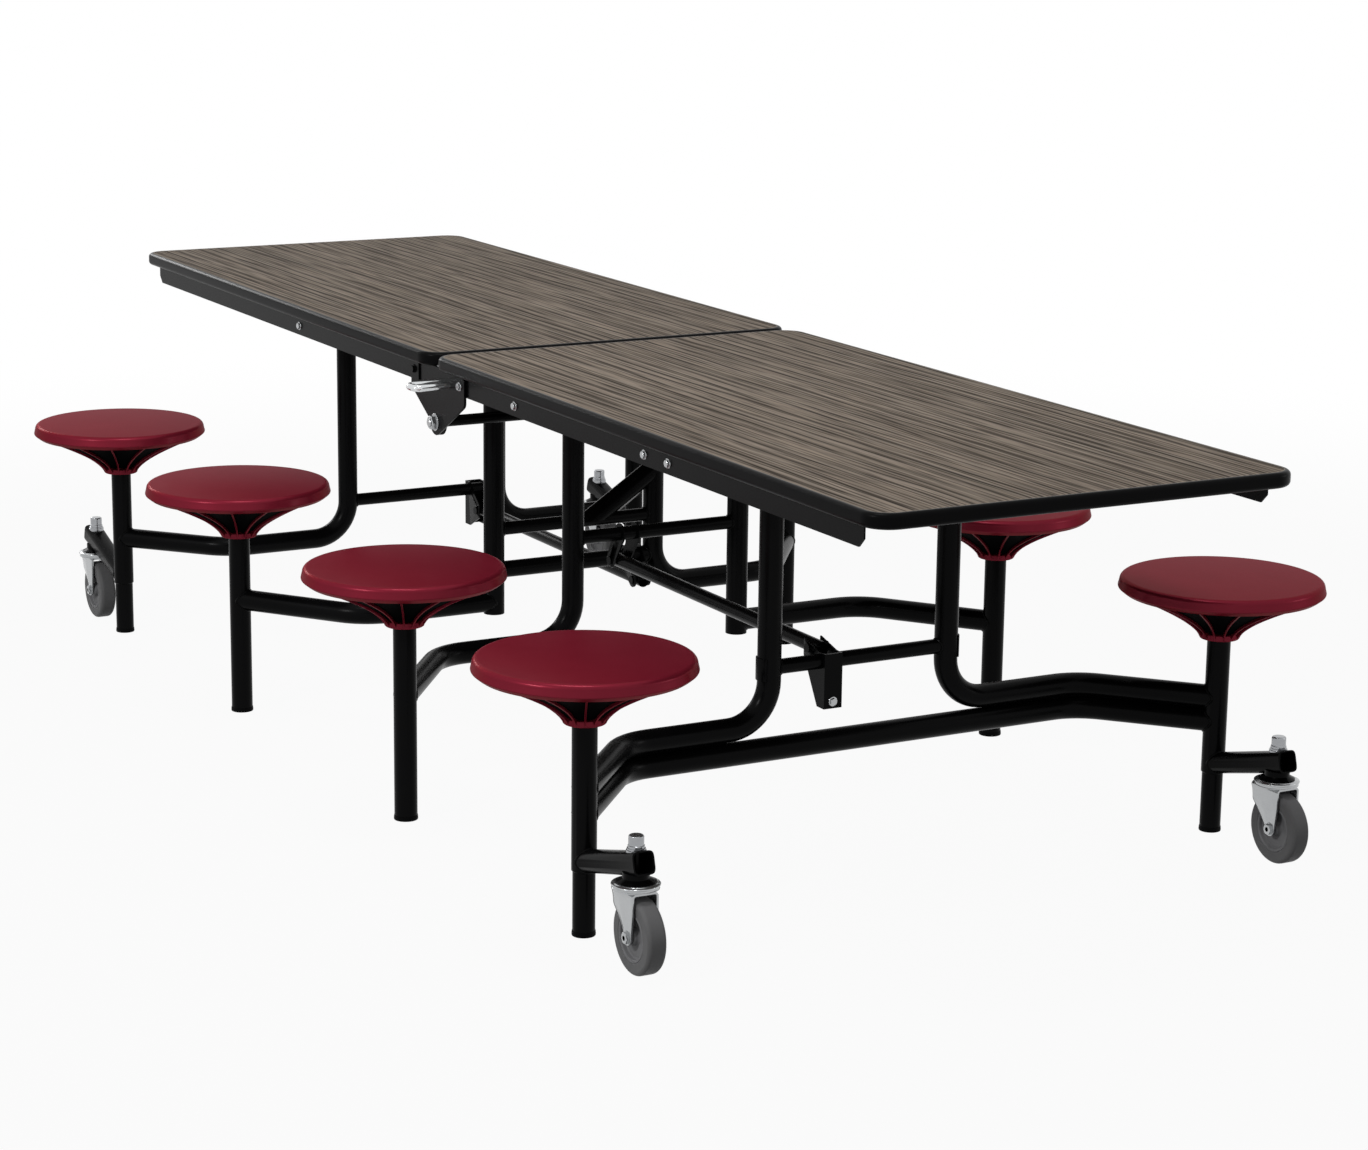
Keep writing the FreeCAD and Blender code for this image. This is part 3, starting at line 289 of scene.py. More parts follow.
# %% [markdown]
# ## Finishes
# Each finish starts from what the real surface is and how it was made. Patterns are sized in millimetres and
# read from Object coordinates, so they stay on a piece when it moves. The grain of a moulded plastic or
# rubber and the stipple of a seat are a few tenths of a millimetre in life, too fine to show at this
# distance, so they are drawn one or two millimetres wide, as coarse as they need to show.
#
# ### Powder-coated steel
# Rails, legs and posts are satin black. The powder melts to a skin with a soft peel, which breaks up the
# reflections of the lamps. A broad cloud shifts its tone and gloss a little along each tube.

# %% Powder-coated steel
COAT_PEEL = (2.2, 2.0, 0.5)
COAT_CLOUD = (90.0, 3.0, 0.5)

BLACK_STEEL = noise_finish("black_powder_coat", ("#09090A", "#0E0E0F"), rough=(0.22, 0.3),
                           rough_noise=COAT_CLOUD, tone_noise=COAT_CLOUD, bump_noise=COAT_PEEL,
                           bump_strength=0.22, bump_depth_mm=0.12, sockets={"Specular IOR Level": 0.045})

# %% [markdown]
# ### Black plastics and painted shade
# The edge of the top is a soft vinyl band and the foot caps are polyethylene. Both are moulded, so the
# tool's fine texture breaks up their gloss. A duller, near-black one of the same kind is painted shade: it
# fills the hollow under each seat, where only shade falls. They differ by how dull they are.

# %% Black plastics and painted shade
BAND_GRAIN_MM = 1.4
CAP_GRAIN_MM = 1.0


def black_plastic_and_shade(name, grain_mm, rough, colour, gloss):
    """Black moulded plastic with a fine tool texture, duller than paint, also used for painted shade."""
    grain = (grain_mm, 4.0, 0.6)
    return noise_finish(name, [colour], rough, rough_noise=grain, bump_noise=grain, bump_strength=0.25,
                        bump_depth_mm=0.1, sockets={"Specular IOR Level": gloss})


EDGE_BAND = black_plastic_and_shade("black_vinyl_edge_band", BAND_GRAIN_MM, (0.26, 0.36), "#0C0C0D", 0.035)
CAP_PLASTIC = black_plastic_and_shade("black_polyethylene_cap", CAP_GRAIN_MM, (0.48, 0.6), "#0B0B0C", 0.035)
# Painted shade: a near-black with almost no gloss for the hollow under each seat.
SHADE_FILL_BLACK = black_plastic_and_shade("black_polypropylene_core", CAP_GRAIN_MM, (0.6, 0.7), "#040404", 0.002)

# %% [markdown]
# ### Wood-grain laminate
# The top is a printed laminate: grey-brown oak with long dark growth lines along the table. The width of the
# table is cut into strips, and each strip holds one line that wanders and fades along its length by a noise
# of its own. A slow noise bends all strips together, so that no line is ruled straight. Bold lines, fine
# lines and pale streaks are three such layers over broad bands and short fibres. Printed lines are about a
# millimetre wide, which is too fine to show at this distance, so they are drawn as coarse as they need to
# show. A thin pale grey ring on the sheet's border, inside the edge band, is a painted highlight.

# %% Lines of the grain
# A layer of lines is (spacing in mm, half width in mm, seed), and a stretched noise is (along, across) in mm.
BOLD_LINES = (24.0, 5.4, 3.0)
FINE_LINES = (10.0, 3.0, 40.0)
PALE_LINES = (15.0, 4.4, 80.0)
WANDER_MM = 520.0
WANDER_RANGE = (0.25, 0.75)
MIDDLE_SHARES = (0.15, 0.85)
FADE_MM = 300.0
FADE_RANGE = (0.36, 0.52)
LINE_SEED_STEP = 7.31


def stretched_noise(tree, place, size_mm, detail, shift=0.0):
    """Noise that is longer along X than across Y, by two sizes in millimetres."""
    scale = (per_metre(size_mm[0]), per_metre(size_mm[1]), 1.0)
    mapped = add_node(tree, "ShaderNodeMapping",
                      {"Vector": place, "Location": (shift, shift, shift), "Scale": scale})
    return add_node(tree, "ShaderNodeTexNoise",
                    {"Vector": mapped, "Scale": 1.0, "Detail": detail, "Roughness": 0.55})


def strip_noise(tree, strip, along_mm, length_mm, seed):
    """Noise along the length of a strip that is different on every strip."""
    across = add_node(tree, "ShaderNodeMath", {0: strip, 1: LINE_SEED_STEP}, operation="MULTIPLY")
    along = add_node(tree, "ShaderNodeMath", {0: along_mm, 1: length_mm}, operation="DIVIDE")
    spot = add_node(tree, "ShaderNodeCombineXYZ", {"X": across, "Y": along, "Z": seed})
    return add_node(tree, "ShaderNodeTexNoise", {"Vector": spot, "Scale": 1.0, "Detail": 1.5})


def grain_lines(tree, along_mm, across_mm, layer):
    """One wandering, fading line in every strip of a layer: 0 between the lines and up to 1 on them."""
    spacing_mm, half_width_mm, seed = layer
    strips = add_node(tree, "ShaderNodeMath", {0: across_mm, 1: spacing_mm}, operation="DIVIDE")
    strip = add_node(tree, "ShaderNodeMath", {0: strips}, operation="FLOOR")
    within = add_node(tree, "ShaderNodeMath", {0: strips, 1: strip}, operation="SUBTRACT")
    middle = add_node(tree, "ShaderNodeMapRange",
                      {"Value": strip_noise(tree, strip, along_mm, WANDER_MM, seed),
                       "From Min": WANDER_RANGE[0], "From Max": WANDER_RANGE[1],
                       "To Min": MIDDLE_SHARES[0], "To Max": MIDDLE_SHARES[1]})
    aside = add_node(tree, "ShaderNodeMath", {0: within, 1: middle}, operation="SUBTRACT")
    away = add_node(tree, "ShaderNodeMath", {0: aside}, operation="ABSOLUTE")
    line = add_node(tree, "ShaderNodeMapRange",
                    {"Value": away, "From Max": half_width_mm / spacing_mm, "To Min": 1.0, "To Max": 0.0})
    strength = add_node(tree, "ShaderNodeMapRange",
                        {"Value": strip_noise(tree, strip, along_mm, FADE_MM, seed + 1),
                         "From Min": FADE_RANGE[0], "From Max": FADE_RANGE[1]})
    return add_node(tree, "ShaderNodeMath", {0: line, 1: strength}, operation="MULTIPLY")


print("a bold line every", BOLD_LINES[0], "mm and a fine one every", FINE_LINES[0], "mm")

# %% Wood-grain laminate
BAND_MM = (900.0, 40.0)
BAND_RAMP = ((0.32, "#857869"), (0.68, "#A39484"))
FIBRE_MM = (90.0, 3.2)
FIBRE_RANGE = (0.38, 0.66)
FIBRE_SHIFT = 31.0
BEND_MM = (1100.0, 150.0)
BEND_SHIFT = 5.0
BEND_REACH_MM = 14.0
GROOVE_DEPTH_MM = 0.2
GROOVE_STRENGTH = 0.3
RESIN_ROUGH = (0.5, 0.64)
# An ink is (strength, colour).
FIBRE_INK = (0.7, "#574C43")
PALE_INK = (0.55, "#A0968A")
FINE_INK = (0.95, "#2E2620")
BOLD_INK = (1.0, "#17110D")
SANDING = (FIBRE_MM[1], 3.0, 0.5)


def wood_laminate():
    """High-pressure laminate: a printed sheet under clear resin, with a pressed-in grain."""
    material, tree, place = new_finish("grey_oak_laminate")
    axes = add_node(tree, "ShaderNodeSeparateXYZ", {0: place})
    along_mm = add_node(tree, "ShaderNodeMath", {0: axes.outputs["X"], 1: MM}, operation="DIVIDE")
    straight_mm = add_node(tree, "ShaderNodeMath", {0: axes.outputs["Y"], 1: MM}, operation="DIVIDE")
    bend = stretched_noise(tree, place, BEND_MM, 2.0, BEND_SHIFT)
    across_mm = add_node(tree, "ShaderNodeMath", {0: bend, 1: BEND_REACH_MM, 2: straight_mm},
                         operation="MULTIPLY_ADD")
    bold = grain_lines(tree, along_mm, across_mm, BOLD_LINES)
    fine = grain_lines(tree, along_mm, across_mm, FINE_LINES)
    pale = grain_lines(tree, along_mm, across_mm, PALE_LINES)
    base = add_node(tree, "ShaderNodeValToRGB", {"Fac": stretched_noise(tree, place, BAND_MM, 3.0)})
    for stop, (position, stop_colour) in zip(base.color_ramp.elements, BAND_RAMP):
        stop.position = position
        stop.color = linear(stop_colour)
    fibre = add_node(tree, "ShaderNodeMapRange",
                     {"Value": stretched_noise(tree, place, FIBRE_MM, 3.0, FIBRE_SHIFT),
                      "From Min": FIBRE_RANGE[0], "From Max": FIBRE_RANGE[1]})
    colour = base.outputs["Color"]
    layers = ((fibre, FIBRE_INK), (pale, PALE_INK), (fine, FINE_INK), (bold, BOLD_INK))
    for layer, (strength, ink) in layers:
        share = add_node(tree, "ShaderNodeMath", {0: layer, 1: strength}, operation="MULTIPLY")
        mix = add_node(tree, "ShaderNodeMix",
                       {MIX_SHARE: share, MIX_FIRST: colour, MIX_SECOND: linear(ink)}, data_type="RGBA")
        colour = mix.outputs[MIX_RESULT]
    grooves = add_node(tree, "ShaderNodeMath", {0: bold, 1: fine}, operation="MAXIMUM")
    rough = add_node(tree, "ShaderNodeMapRange",
                     {"Value": grooves, "To Min": RESIN_ROUGH[0], "To Max": RESIN_ROUGH[1]})
    bump = add_node(tree, "ShaderNodeBump",
                    {"Height": grooves, "Strength": GROOVE_STRENGTH, "Distance": GROOVE_DEPTH_MM * MM},
                    invert=True)
    shade_finish(tree, {"Base Color": colour, "Roughness": rough, "Normal": bump,
                        "Specular IOR Level": 0.02})
    return material


LAMINATE = wood_laminate()
# Painted highlight: a pale grey for the thin ring on the border of the sheet, where light catches it.
EDGE_HIGHLIGHT_PAINT = noise_finish("pale_laminate_edge", ["#8C857C"], (0.46, 0.7), rough_noise=SANDING,
                        sockets={"Specular IOR Level": 0.05})
print("finish", LAMINATE.name)

# %% [markdown]
# ### Board under the laminate
# Seen from below, the top is the brown paper-and-resin backing sheet of a particle board. The chips under it
# press through as faint cells, so a cell pattern makes the relief, and a fine noise the tone of the paper.

# %% Board under the laminate
CHIP_MM = 5.0
PAPER_MM = 1.25
CHIP_DEPTH_MM = 0.2


def backer_sheet():
    """The brown paper-and-resin backing sheet of a particle board, dull and faintly uneven."""
    material, tree, place = new_finish("brown_backer_sheet")
    chips = add_node(tree, "ShaderNodeTexVoronoi", {"Vector": place, "Scale": per_metre(CHIP_MM)})
    paper = add_node(tree, "ShaderNodeTexNoise",
                     {"Vector": place, "Scale": per_metre(PAPER_MM), "Detail": 4.0})
    tone = add_node(tree, "ShaderNodeMix",
                    {MIX_SHARE: paper, MIX_FIRST: linear("#4A3A2D"), MIX_SECOND: linear("#5E4B3B")},
                    data_type="RGBA")
    bump = add_node(tree, "ShaderNodeBump",
                    {"Height": chips, "Strength": 0.15, "Distance": CHIP_DEPTH_MM * MM})
    shade_finish(tree, {"Base Color": tone.outputs[MIX_RESULT], "Normal": bump, "Roughness": 0.62})
    return material


BACKER = backer_sheet()
print("finish", BACKER.name)

# %% [markdown]
# ### Burgundy seats
# The seats are moulded ABS, burgundy with a little pearl in it, which reddens their gloss. A pure plastic
# would reflect the white room as a grey veil, so part of the shader is metallic in the seat's own colour, and
# a thin clear coat gives the crisp light on the rim. The moulding's fine stipple spreads that light.

# %% Burgundy seats
SEAT_STIPPLE = (1.3, 2.0, 0.5)
SEAT_CLOUD = (70.0, 3.0, 0.5)
SEAT_SOCKETS = {"Specular IOR Level": 0.001, "Metallic": 0.34, "Specular Tint": linear("#C05468"),
                "Coat Weight": 0.09, "Coat Roughness": 0.2}

SEAT_ABS = noise_finish("burgundy_moulded_abs", ("#7D1D2E", "#872335"), (0.3, 0.4), rough_noise=SEAT_STIPPLE,
                        tone_noise=SEAT_CLOUD, bump_noise=SEAT_STIPPLE, bump_strength=0.16, bump_depth_mm=0.1,
                        sockets=SEAT_SOCKETS)

# %% [markdown]
# ### Plated metals
# Forks and screws are bright zinc, the stem nuts a duller nickel, and the release handle chrome. All three
# are metal whose gloss drifts a little from place to place, as plating does, and they differ in tone and
# polish.

# %% Zinc, nickel and chrome
ZINC_CLOUD_MM = 22.0
BRIGHT_CLOUD_MM = 25.0
METAL_SHARE = 0.85


def plated_metal(name, cloud_mm, colours, rough):
    """Plated steel: bright metal whose gloss drifts a little from place to place."""
    cloud = (cloud_mm, 2.0, 0.5)
    return noise_finish(name, colours, rough, rough_noise=cloud, tone_noise=cloud,
                        sockets={"Metallic": METAL_SHARE})


ZINC = plated_metal("bright_zinc_plate", ZINC_CLOUD_MM, ("#ACAEB0", "#B8BABB"), (0.18, 0.25))
NICKEL = plated_metal("dull_nickel_plate", BRIGHT_CLOUD_MM, ("#9C9EA1", "#AAACAF"), (0.16, 0.22))
CHROME = plated_metal("chrome_plate", BRIGHT_CLOUD_MM, ("#D4D6D8", "#E0E2E3"), (0.07, 0.13))

# %% [markdown]
# ### Wheels
# The tyres are a grey soft rubber that doesn't mark floors, on hubs of a harder and paler grey plastic. Both
# are matt, with a fine grain and slight soiling, so one noise moves their tone, gloss and relief together.

# %% Wheels
RUBBER_GRAIN_MM = 1.6
HUB_GRAIN_MM = 1.2


def wheel_grey(name, grain_mm, colours, rough):
    """Grey moulded wheel material with a fine matt grain and slight soiling."""
    grain = (grain_mm, 5.0, 0.65)
    return noise_finish(name, colours, rough, rough_noise=grain, tone_noise=grain, bump_noise=grain,
                        bump_strength=0.2, bump_depth_mm=0.1, sockets={"Specular IOR Level": 0.12})


TYRE_RUBBER = wheel_grey("grey_thermoplastic_rubber", RUBBER_GRAIN_MM, ("#757576", "#808081"), (0.46, 0.6))
HUB_PLASTIC = wheel_grey("grey_polypropylene_hub", HUB_GRAIN_MM, ("#868688", "#929294"), (0.38, 0.5))

# %% [markdown]
# ## Pieces that keep the frame's shape
# Tubes, rails, plates and the top already have their real shape in the frame. A copy of each is merged,
# because the frame's triangles are loose, and shaded smooth up to a set angle, so that a bent tube reads as
# round and a cut edge stays crisp. The copy takes the place of its node and rides on the same body, with its
# finish as its one material.

# %% Pieces and their slots
SHARP_DEG = 32
MERGE_MM = 0.002


def shade_by_angle(mesh):
    """Smooth shading, with edges sharper than the set angle kept crisp."""
    mesh.shade_smooth()
    mesh.set_sharp_from_angle(angle=math.radians(SHARP_DEG))


def show_piece(name, mesh, finish, body, nodes=()):
    """A finished mesh as a piece that rides on a body and stands for the nodes it is given."""
    mesh.materials.clear()
    mesh.materials.append(finish)
    piece = bpy.data.objects.new(name, mesh)
    scene.collection.objects.link(piece)
    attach(piece, body)
    if nodes:
        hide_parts(*nodes)
    return piece


def merged_copy(node):
    """A copy of a node's mesh with its loose triangles joined."""
    mesh = frame["nodes"][node].data.copy()
    work = bmesh.new()
    work.from_mesh(mesh)
    bmesh.ops.remove_doubles(work, verts=work.verts, dist=MERGE_MM * MM)
    work.to_mesh(mesh)
    work.free()
    if mesh.attributes.get("custom_normal"):
        mesh.attributes.remove(mesh.attributes["custom_normal"])
    shade_by_angle(mesh)
    return mesh


def smooth_node(node, finish):
    """A smooth copy of a node in its place."""
    body = frame["nodes"][node]["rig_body"]
    return show_piece(node + "_finish", merged_copy(node), finish, body, [node])


# %% Smooth copies of the frame's pieces
NEAR_AND_FAR = ("near", "far")
HIGHLIGHT_RING_MM = 1.6
FACING_UP = 0.9
STEEL_ENDINGS = ("side_rails", "leg_pivots", "end_legs", "centre_legs", "inner_posts", "end_crossbar",
                 "centre_crossbar", "tie_bar")
STEEL_SINGLES = ("near_end_bow", "far_centre_stretcher")
CAP_ENDINGS = ("end_foot_caps", "inner_foot_caps")


def laminate_with_painted_highlight(node):
    """A smooth copy of a laminate sheet, whose top face has a thin ring of painted highlight round it."""
    mesh = smooth_node(node, LAMINATE).data
    mesh.materials.append(EDGE_HIGHLIGHT_PAINT)
    work = bmesh.new()
    work.from_mesh(mesh)
    top = [face for face in work.faces if face.normal.z > FACING_UP]
    sheet = bmesh.ops.dissolve_faces(work, faces=top)["region"]
    ring = bmesh.ops.inset_region(work, faces=sheet, thickness=HIGHLIGHT_RING_MM * MM)["faces"]
    # The ring round the top face takes the painted highlight.
    for face in ring:
        face.material_index = 1
    work.to_mesh(mesh)
    work.free()
    shade_by_angle(mesh)


for half in NEAR_AND_FAR:
    for ending in STEEL_ENDINGS:
        smooth_node(half + "_" + ending, BLACK_STEEL)
    smooth_node(half + "_edge_band", EDGE_BAND)
    laminate_with_painted_highlight(half + "_top_laminate")
    smooth_node(half + "_top_board", BACKER)
    for ending in CAP_ENDINGS:
        smooth_node(half + "_" + ending, CAP_PLASTIC)
for node in STEEL_SINGLES:
    smooth_node(node, BLACK_STEEL)
smooth_node("near_handle_guide", CAP_PLASTIC)
copies = [piece.name for piece in scene.objects if piece.name.endswith("_finish")]
print("smooth copies of", len(copies), "nodes")

# %% [markdown]
# ## Release handle
# A chromed wire loop at the hinge is pulled to free the fold. The loop is stouter in the picture than its
# rods are, so the copy grows along its own normals outside the hinge plate, and the rods behind the plate
# keep their size.

# %% Release handle
HANDLE_FREE_Y = -373.0
HANDLE_COAT = 1.2

handle_mesh = merged_copy("release_handle")
outward = [vertex.normal.copy() for vertex in handle_mesh.vertices]
for vertex, way in zip(handle_mesh.vertices, outward):
    if vertex.co.y < HANDLE_FREE_Y * MM:
        vertex.co += way * HANDLE_COAT * MM
show_piece("release_handle_finish", handle_mesh, CHROME, "release_handle", ["release_handle"])
print("release handle", len(handle_mesh.polygons), "faces")

# %% [markdown]
# ## Turned shapes
# Seats, wheels, nuts and stems are round, so one set of helpers turns a profile of (radius, height) points
# about an axis. Blender's Screw modifier could do that too. Here rows of points are joined in code, so that
# doubles are merged and the faces turned outwards in the same step. Two more points near the ends of each
# long step of a profile keep its flat faces flat under smooth shading.

# %% Points of a profile
ARC_STEPS = 6
HOLD_MM = 0.4
HOLD_FROM_MM = 3.0
TEN_MM_STEP = ((0, 0), (10, 0))


def arc_points(centre, radius, start_deg, end_deg, steps=ARC_STEPS):
    """Points on an arc about a centre, for rounding a profile's corner."""
    points = []
    for k in range(steps + 1):
        angle = math.radians(start_deg + (end_deg - start_deg) * k / steps)
        points.append((centre[0] + radius * math.cos(angle), centre[1] + radius * math.sin(angle)))
    return points


def steps_from(radius, height, offsets):
    """Profile points by their (outward, upward) offsets from a corner, all in millimetres."""
    return [(radius + out, height + up) for out, up in offsets]


def held(profile_mm):
    """The profile with two more points near the ends of each long step, so that flat faces shade flat."""
    points = [profile_mm[0]]
    for start, end in zip(profile_mm, profile_mm[1:]):
        length = math.dist(start, end)
        if length > HOLD_FROM_MM:
            for share in (HOLD_MM / length, 1 - HOLD_MM / length):
                points.append(tuple(a + (b - a) * share for a, b in zip(start, end)))
        points.append(end)
    return points


print("a step of 10 mm becomes", held(TEN_MM_STEP))

# %% A profile turned about an axis
FULL_TURN = math.tau


def mesh_from(work, name):
    """The plain mesh of a finished bmesh."""
    mesh = bpy.data.meshes.new(name)
    work.to_mesh(mesh)
    work.free()
    return mesh


def skin_between(work, rows, closed=True):
    """Faces between neighbouring rows of points, where each row is closed to a ring or left open."""
    for first, second in zip(rows, rows[1:]):
        for k in range(len(first) if closed else len(first) - 1):
            after = (k + 1) % len(first)
            work.faces.new((first[k], first[after], second[after], second[k]))


def turned_mesh(name, profile_mm, segments, closed=False):
    """A mesh spun about Z from (radius, height) points in millimetres, outside facing out."""
    work = bmesh.new()
    rings = []
    for radius, height in held(profile_mm):
        ring = []
        for k in range(segments):
            angle = FULL_TURN * k / segments
            spot = Vector((radius * math.cos(angle), radius * math.sin(angle), height)) * MM
            ring.append(work.verts.new(spot))
        rings.append(ring)
    if closed:
        rings.append(rings[0])
    skin_between(work, rings)
    bmesh.ops.remove_doubles(work, verts=work.verts, dist=MERGE_MM * MM)
    bmesh.ops.recalc_face_normals(work, faces=work.faces)
    return mesh_from(work, name)


print("points closer than", MERGE_MM, "mm are merged")

# %% [markdown]
# ## Seats
# Each seat is one moulding: a slightly crowned disc with a rounded edge, a side that flares a little, a bevel
# that turns in, and thin ribs that run down from the rim to a collar round the post. The disc is a turned
# shape, so a profile of radius and height is spun about the post. The ribs repeat, so Geometry Nodes set one
# rib around the post as often as it is needed. Between the ribs the underside is black with shade, so a
# near-black fill of painted shade, no part of the seat, sits a little behind the edges of the ribs.

# %% Seat shell
SEAT_R = 174.95
SEAT_TOP = 452.0
SEAT_CROWN = 3.0
SEAT_EDGE_R = 9.0
SEAT_SIDE_DROP = 21.0
SEAT_LIP_DROP = 29.0
SEAT_BEVEL = 7.0
SEAT_DRAFT = 2.2
SEAT_SKIN = 6.0
SEAT_DEPTH = 108.0
LIP_ROUND = 1.0
COLLAR_R = 34.0
COLLAR_HEIGHT = 12.0
COLLAR_ROUND = 3.0
POST_R = 20.0
SOCKET_GAP = 0.3
SOCKET_R = POST_R + SOCKET_GAP
SOCKET_WALL = 4.0
SOCKET_DROP = 55.7
SEAT_SEGMENTS = 128
CROWN_STEPS = 8
SEAT_BOTTOM = SEAT_TOP - SEAT_DEPTH


def seat_profile():
    """The profile of the shell, from the middle of the top round the rim to the socket."""
    points = []
    edge_r = SEAT_R - SEAT_EDGE_R
    for k in range(CROWN_STEPS + 1):
        share = k / CROWN_STEPS
        points.append((edge_r * share, SEAT_TOP - SEAT_CROWN * share ** 2))
    points += arc_points((edge_r, SEAT_TOP - SEAT_CROWN - SEAT_EDGE_R), SEAT_EDGE_R, 90, 0)[1:]
    points = [(radius - SEAT_DRAFT * (radius / SEAT_R) ** 2, z) for radius, z in points]
    side_z = SEAT_TOP - SEAT_SIDE_DROP
    lip_z = SEAT_TOP - SEAT_LIP_DROP
    points += arc_points((SEAT_R - COLLAR_ROUND, side_z), COLLAR_ROUND, 0, -45)
    points += steps_from(SEAT_R - SEAT_BEVEL, lip_z, ((0, LIP_ROUND), (-COLLAR_ROUND, -LIP_ROUND)))
    skin_z = SEAT_TOP - SEAT_CROWN - SEAT_SKIN
    wall_r = SEAT_R - SEAT_SKIN * 2
    socket_out = SOCKET_R + SOCKET_WALL
    collar_top = SEAT_BOTTOM + COLLAR_HEIGHT
    collar_in = COLLAR_R - COLLAR_ROUND
    points += [(wall_r, lip_z), (wall_r, skin_z), (socket_out, skin_z), (socket_out, collar_top)]
    points += [(collar_in, collar_top)]
    points += arc_points((collar_in, collar_top - COLLAR_ROUND), COLLAR_ROUND, 90, 0)[1:]
    points += arc_points((collar_in, SEAT_BOTTOM + COLLAR_ROUND), COLLAR_ROUND, 0, -90)
    socket_z = SEAT_TOP - SOCKET_DROP
    return points + [(SOCKET_R, SEAT_BOTTOM), (SOCKET_R, socket_z), (0, socket_z)]


shell_mesh = turned_mesh("seat_shell", seat_profile(), SEAT_SEGMENTS)
shade_by_angle(shell_mesh)
print("seat shell", len(shell_mesh.polygons), "faces")

# %% [markdown]
# ### A tree that sets copies round an axis
# The ribs could be copied by hand, but a tree keeps their number as one named input. It places points at the
# origin, gives each copy of its own mesh its turn about Z, makes the copies real and sets the finish.

# %% Geometry Nodes: a ring of copies
def new_tree(name, sockets):
    """An empty tree with a geometry input and output, the named inputs it is given and one for the finish."""
    tree = bpy.data.node_groups.new(name, "GeometryNodeTree")
    tree.interface.new_socket("Geometry", in_out="INPUT", socket_type="NodeSocketGeometry")
    for socket_name, kind in (*sockets, ("Finish", "NodeSocketMaterial")):
        tree.interface.new_socket(socket_name, in_out="INPUT", socket_type=kind)
    tree.interface.new_socket("Geometry", in_out="OUTPUT", socket_type="NodeSocketGeometry")
    return tree, add_node(tree, "NodeGroupInput")


def end_tree(tree, given, geometry):
    """The end that all trees share: what they made becomes real and takes its finish."""
    real = add_node(tree, "GeometryNodeRealizeInstances", {"Geometry": geometry})
    done = add_node(tree, "GeometryNodeSetMaterial", {"Geometry": real, "Material": given.outputs["Finish"]})
    add_node(tree, "NodeGroupOutput", {"Geometry": done})
    print("tree", tree.name, len(tree.nodes), "nodes")
    return tree


def plain_mesh(maker):
    """The plain mesh that an object's modifiers make. The object itself goes."""
    graph = bpy.context.evaluated_depsgraph_get()
    mesh = bpy.data.meshes.new_from_object(maker.evaluated_get(graph), depsgraph=graph)
    maker.modifiers.clear()
    bpy.data.objects.remove(maker)
    return mesh


def grown_mesh(name, base, tree, values):
    """The plain mesh that a tree makes of a base mesh, with its named inputs set by their identifiers."""
    maker = bpy.data.objects.new(name, base)
    scene.collection.objects.link(maker)
    modifier = maker.modifiers.new("grow", "NODES")
    modifier.node_group = tree
    for item in tree.interface.items_tree:
        if item.in_out == "INPUT" and item.name in values:
            modifier[item.identifier] = values[item.name]
    mesh = plain_mesh(maker)
    shade_by_angle(mesh)
    return mesh


def ring_tree():
    """Copies of a mesh turned about Z in equal steps."""
    tree, given = new_tree("ring_of_copies", [("Count", "NodeSocketInt")])
    points = add_node(tree, "GeometryNodePoints", {"Count": given.outputs["Count"]})
    index = add_node(tree, "GeometryNodeInputIndex")
    step = add_node(tree, "ShaderNodeMath", {0: FULL_TURN, 1: given.outputs["Count"]}, operation="DIVIDE")
    turn = add_node(tree, "ShaderNodeMath", {0: index, 1: step}, operation="MULTIPLY")
    about_z = add_node(tree, "ShaderNodeCombineXYZ", {"Z": turn})
    copies = add_node(tree, "GeometryNodeInstanceOnPoints",
                      {"Points": points, "Instance": given.outputs["Geometry"], "Rotation": about_z})
    return end_tree(tree, given, copies)


RING_TREE = ring_tree()

# %% [markdown]
# ### Ribs and painted shade
# A rib is a thin plate whose lower edge sweeps in from the rim and then down to the collar. Corners placed by
# hand could draw that edge. Here two points pull a smooth curve into shape, so a few numbers set its sweep.
# The near-black fill of painted shade is a turned shape that follows the same curve a little behind it.

# %% Seat ribs
RIB_COUNT = 14
RIB_THICK = 3.0
RIB_TOP_DROP = 6.0
RIB_BEVEL = 0.6
RIB_RIM_R = 159.0
RIB_RIM_DROP = 29.0
RIB_PULLS = ((136.0, 41.0), (52.0, 74.0))
RIB_FOOT_R = 35.4
RIB_FOOT_DROP = 103.0
RIB_FOOT_EASE = 1.5
RIB_STEPS = 14
ROUND_BEVEL = 0.5


def plate_mesh(name, outline_mm, thick_mm, bevel_mm):
    """A plate in the XZ plane, centred on Y, from (x, z) corners in millimetres, with eased edges."""
    work = bmesh.new()
    half_mm = thick_mm / 2
    front = [work.verts.new(Vector((x, -half_mm, z)) * MM) for x, z in outline_mm]
    back = [work.verts.new(Vector((x, half_mm, z)) * MM) for x, z in outline_mm]
    work.faces.new(front)
    work.faces.new(back[::-1])
    skin_between(work, [back, front])
    bmesh.ops.recalc_face_normals(work, faces=work.faces)
    rims = [edge for edge in work.edges if abs(edge.verts[0].co.y - edge.verts[1].co.y) < half_mm * MM]
    bmesh.ops.bevel(work, geom=rims, offset=bevel_mm * MM, segments=1, affect="EDGES", profile=ROUND_BEVEL)
    return mesh_from(work, name)


def curve_between(start, pulls, end, steps):
    """Points on the smooth curve from a start to an end that two points pull towards themselves."""
    points = []
    corners = (start, *pulls, end)
    for k in range(steps + 1):
        t = k / steps
        weights = ((1 - t) ** 3, 3 * t * (1 - t) ** 2, 3 * t ** 2 * (1 - t), t ** 3)
        points.append(tuple(sum(w * c[axis] for w, c in zip(weights, corners)) for axis in (0, 1)))
    return points


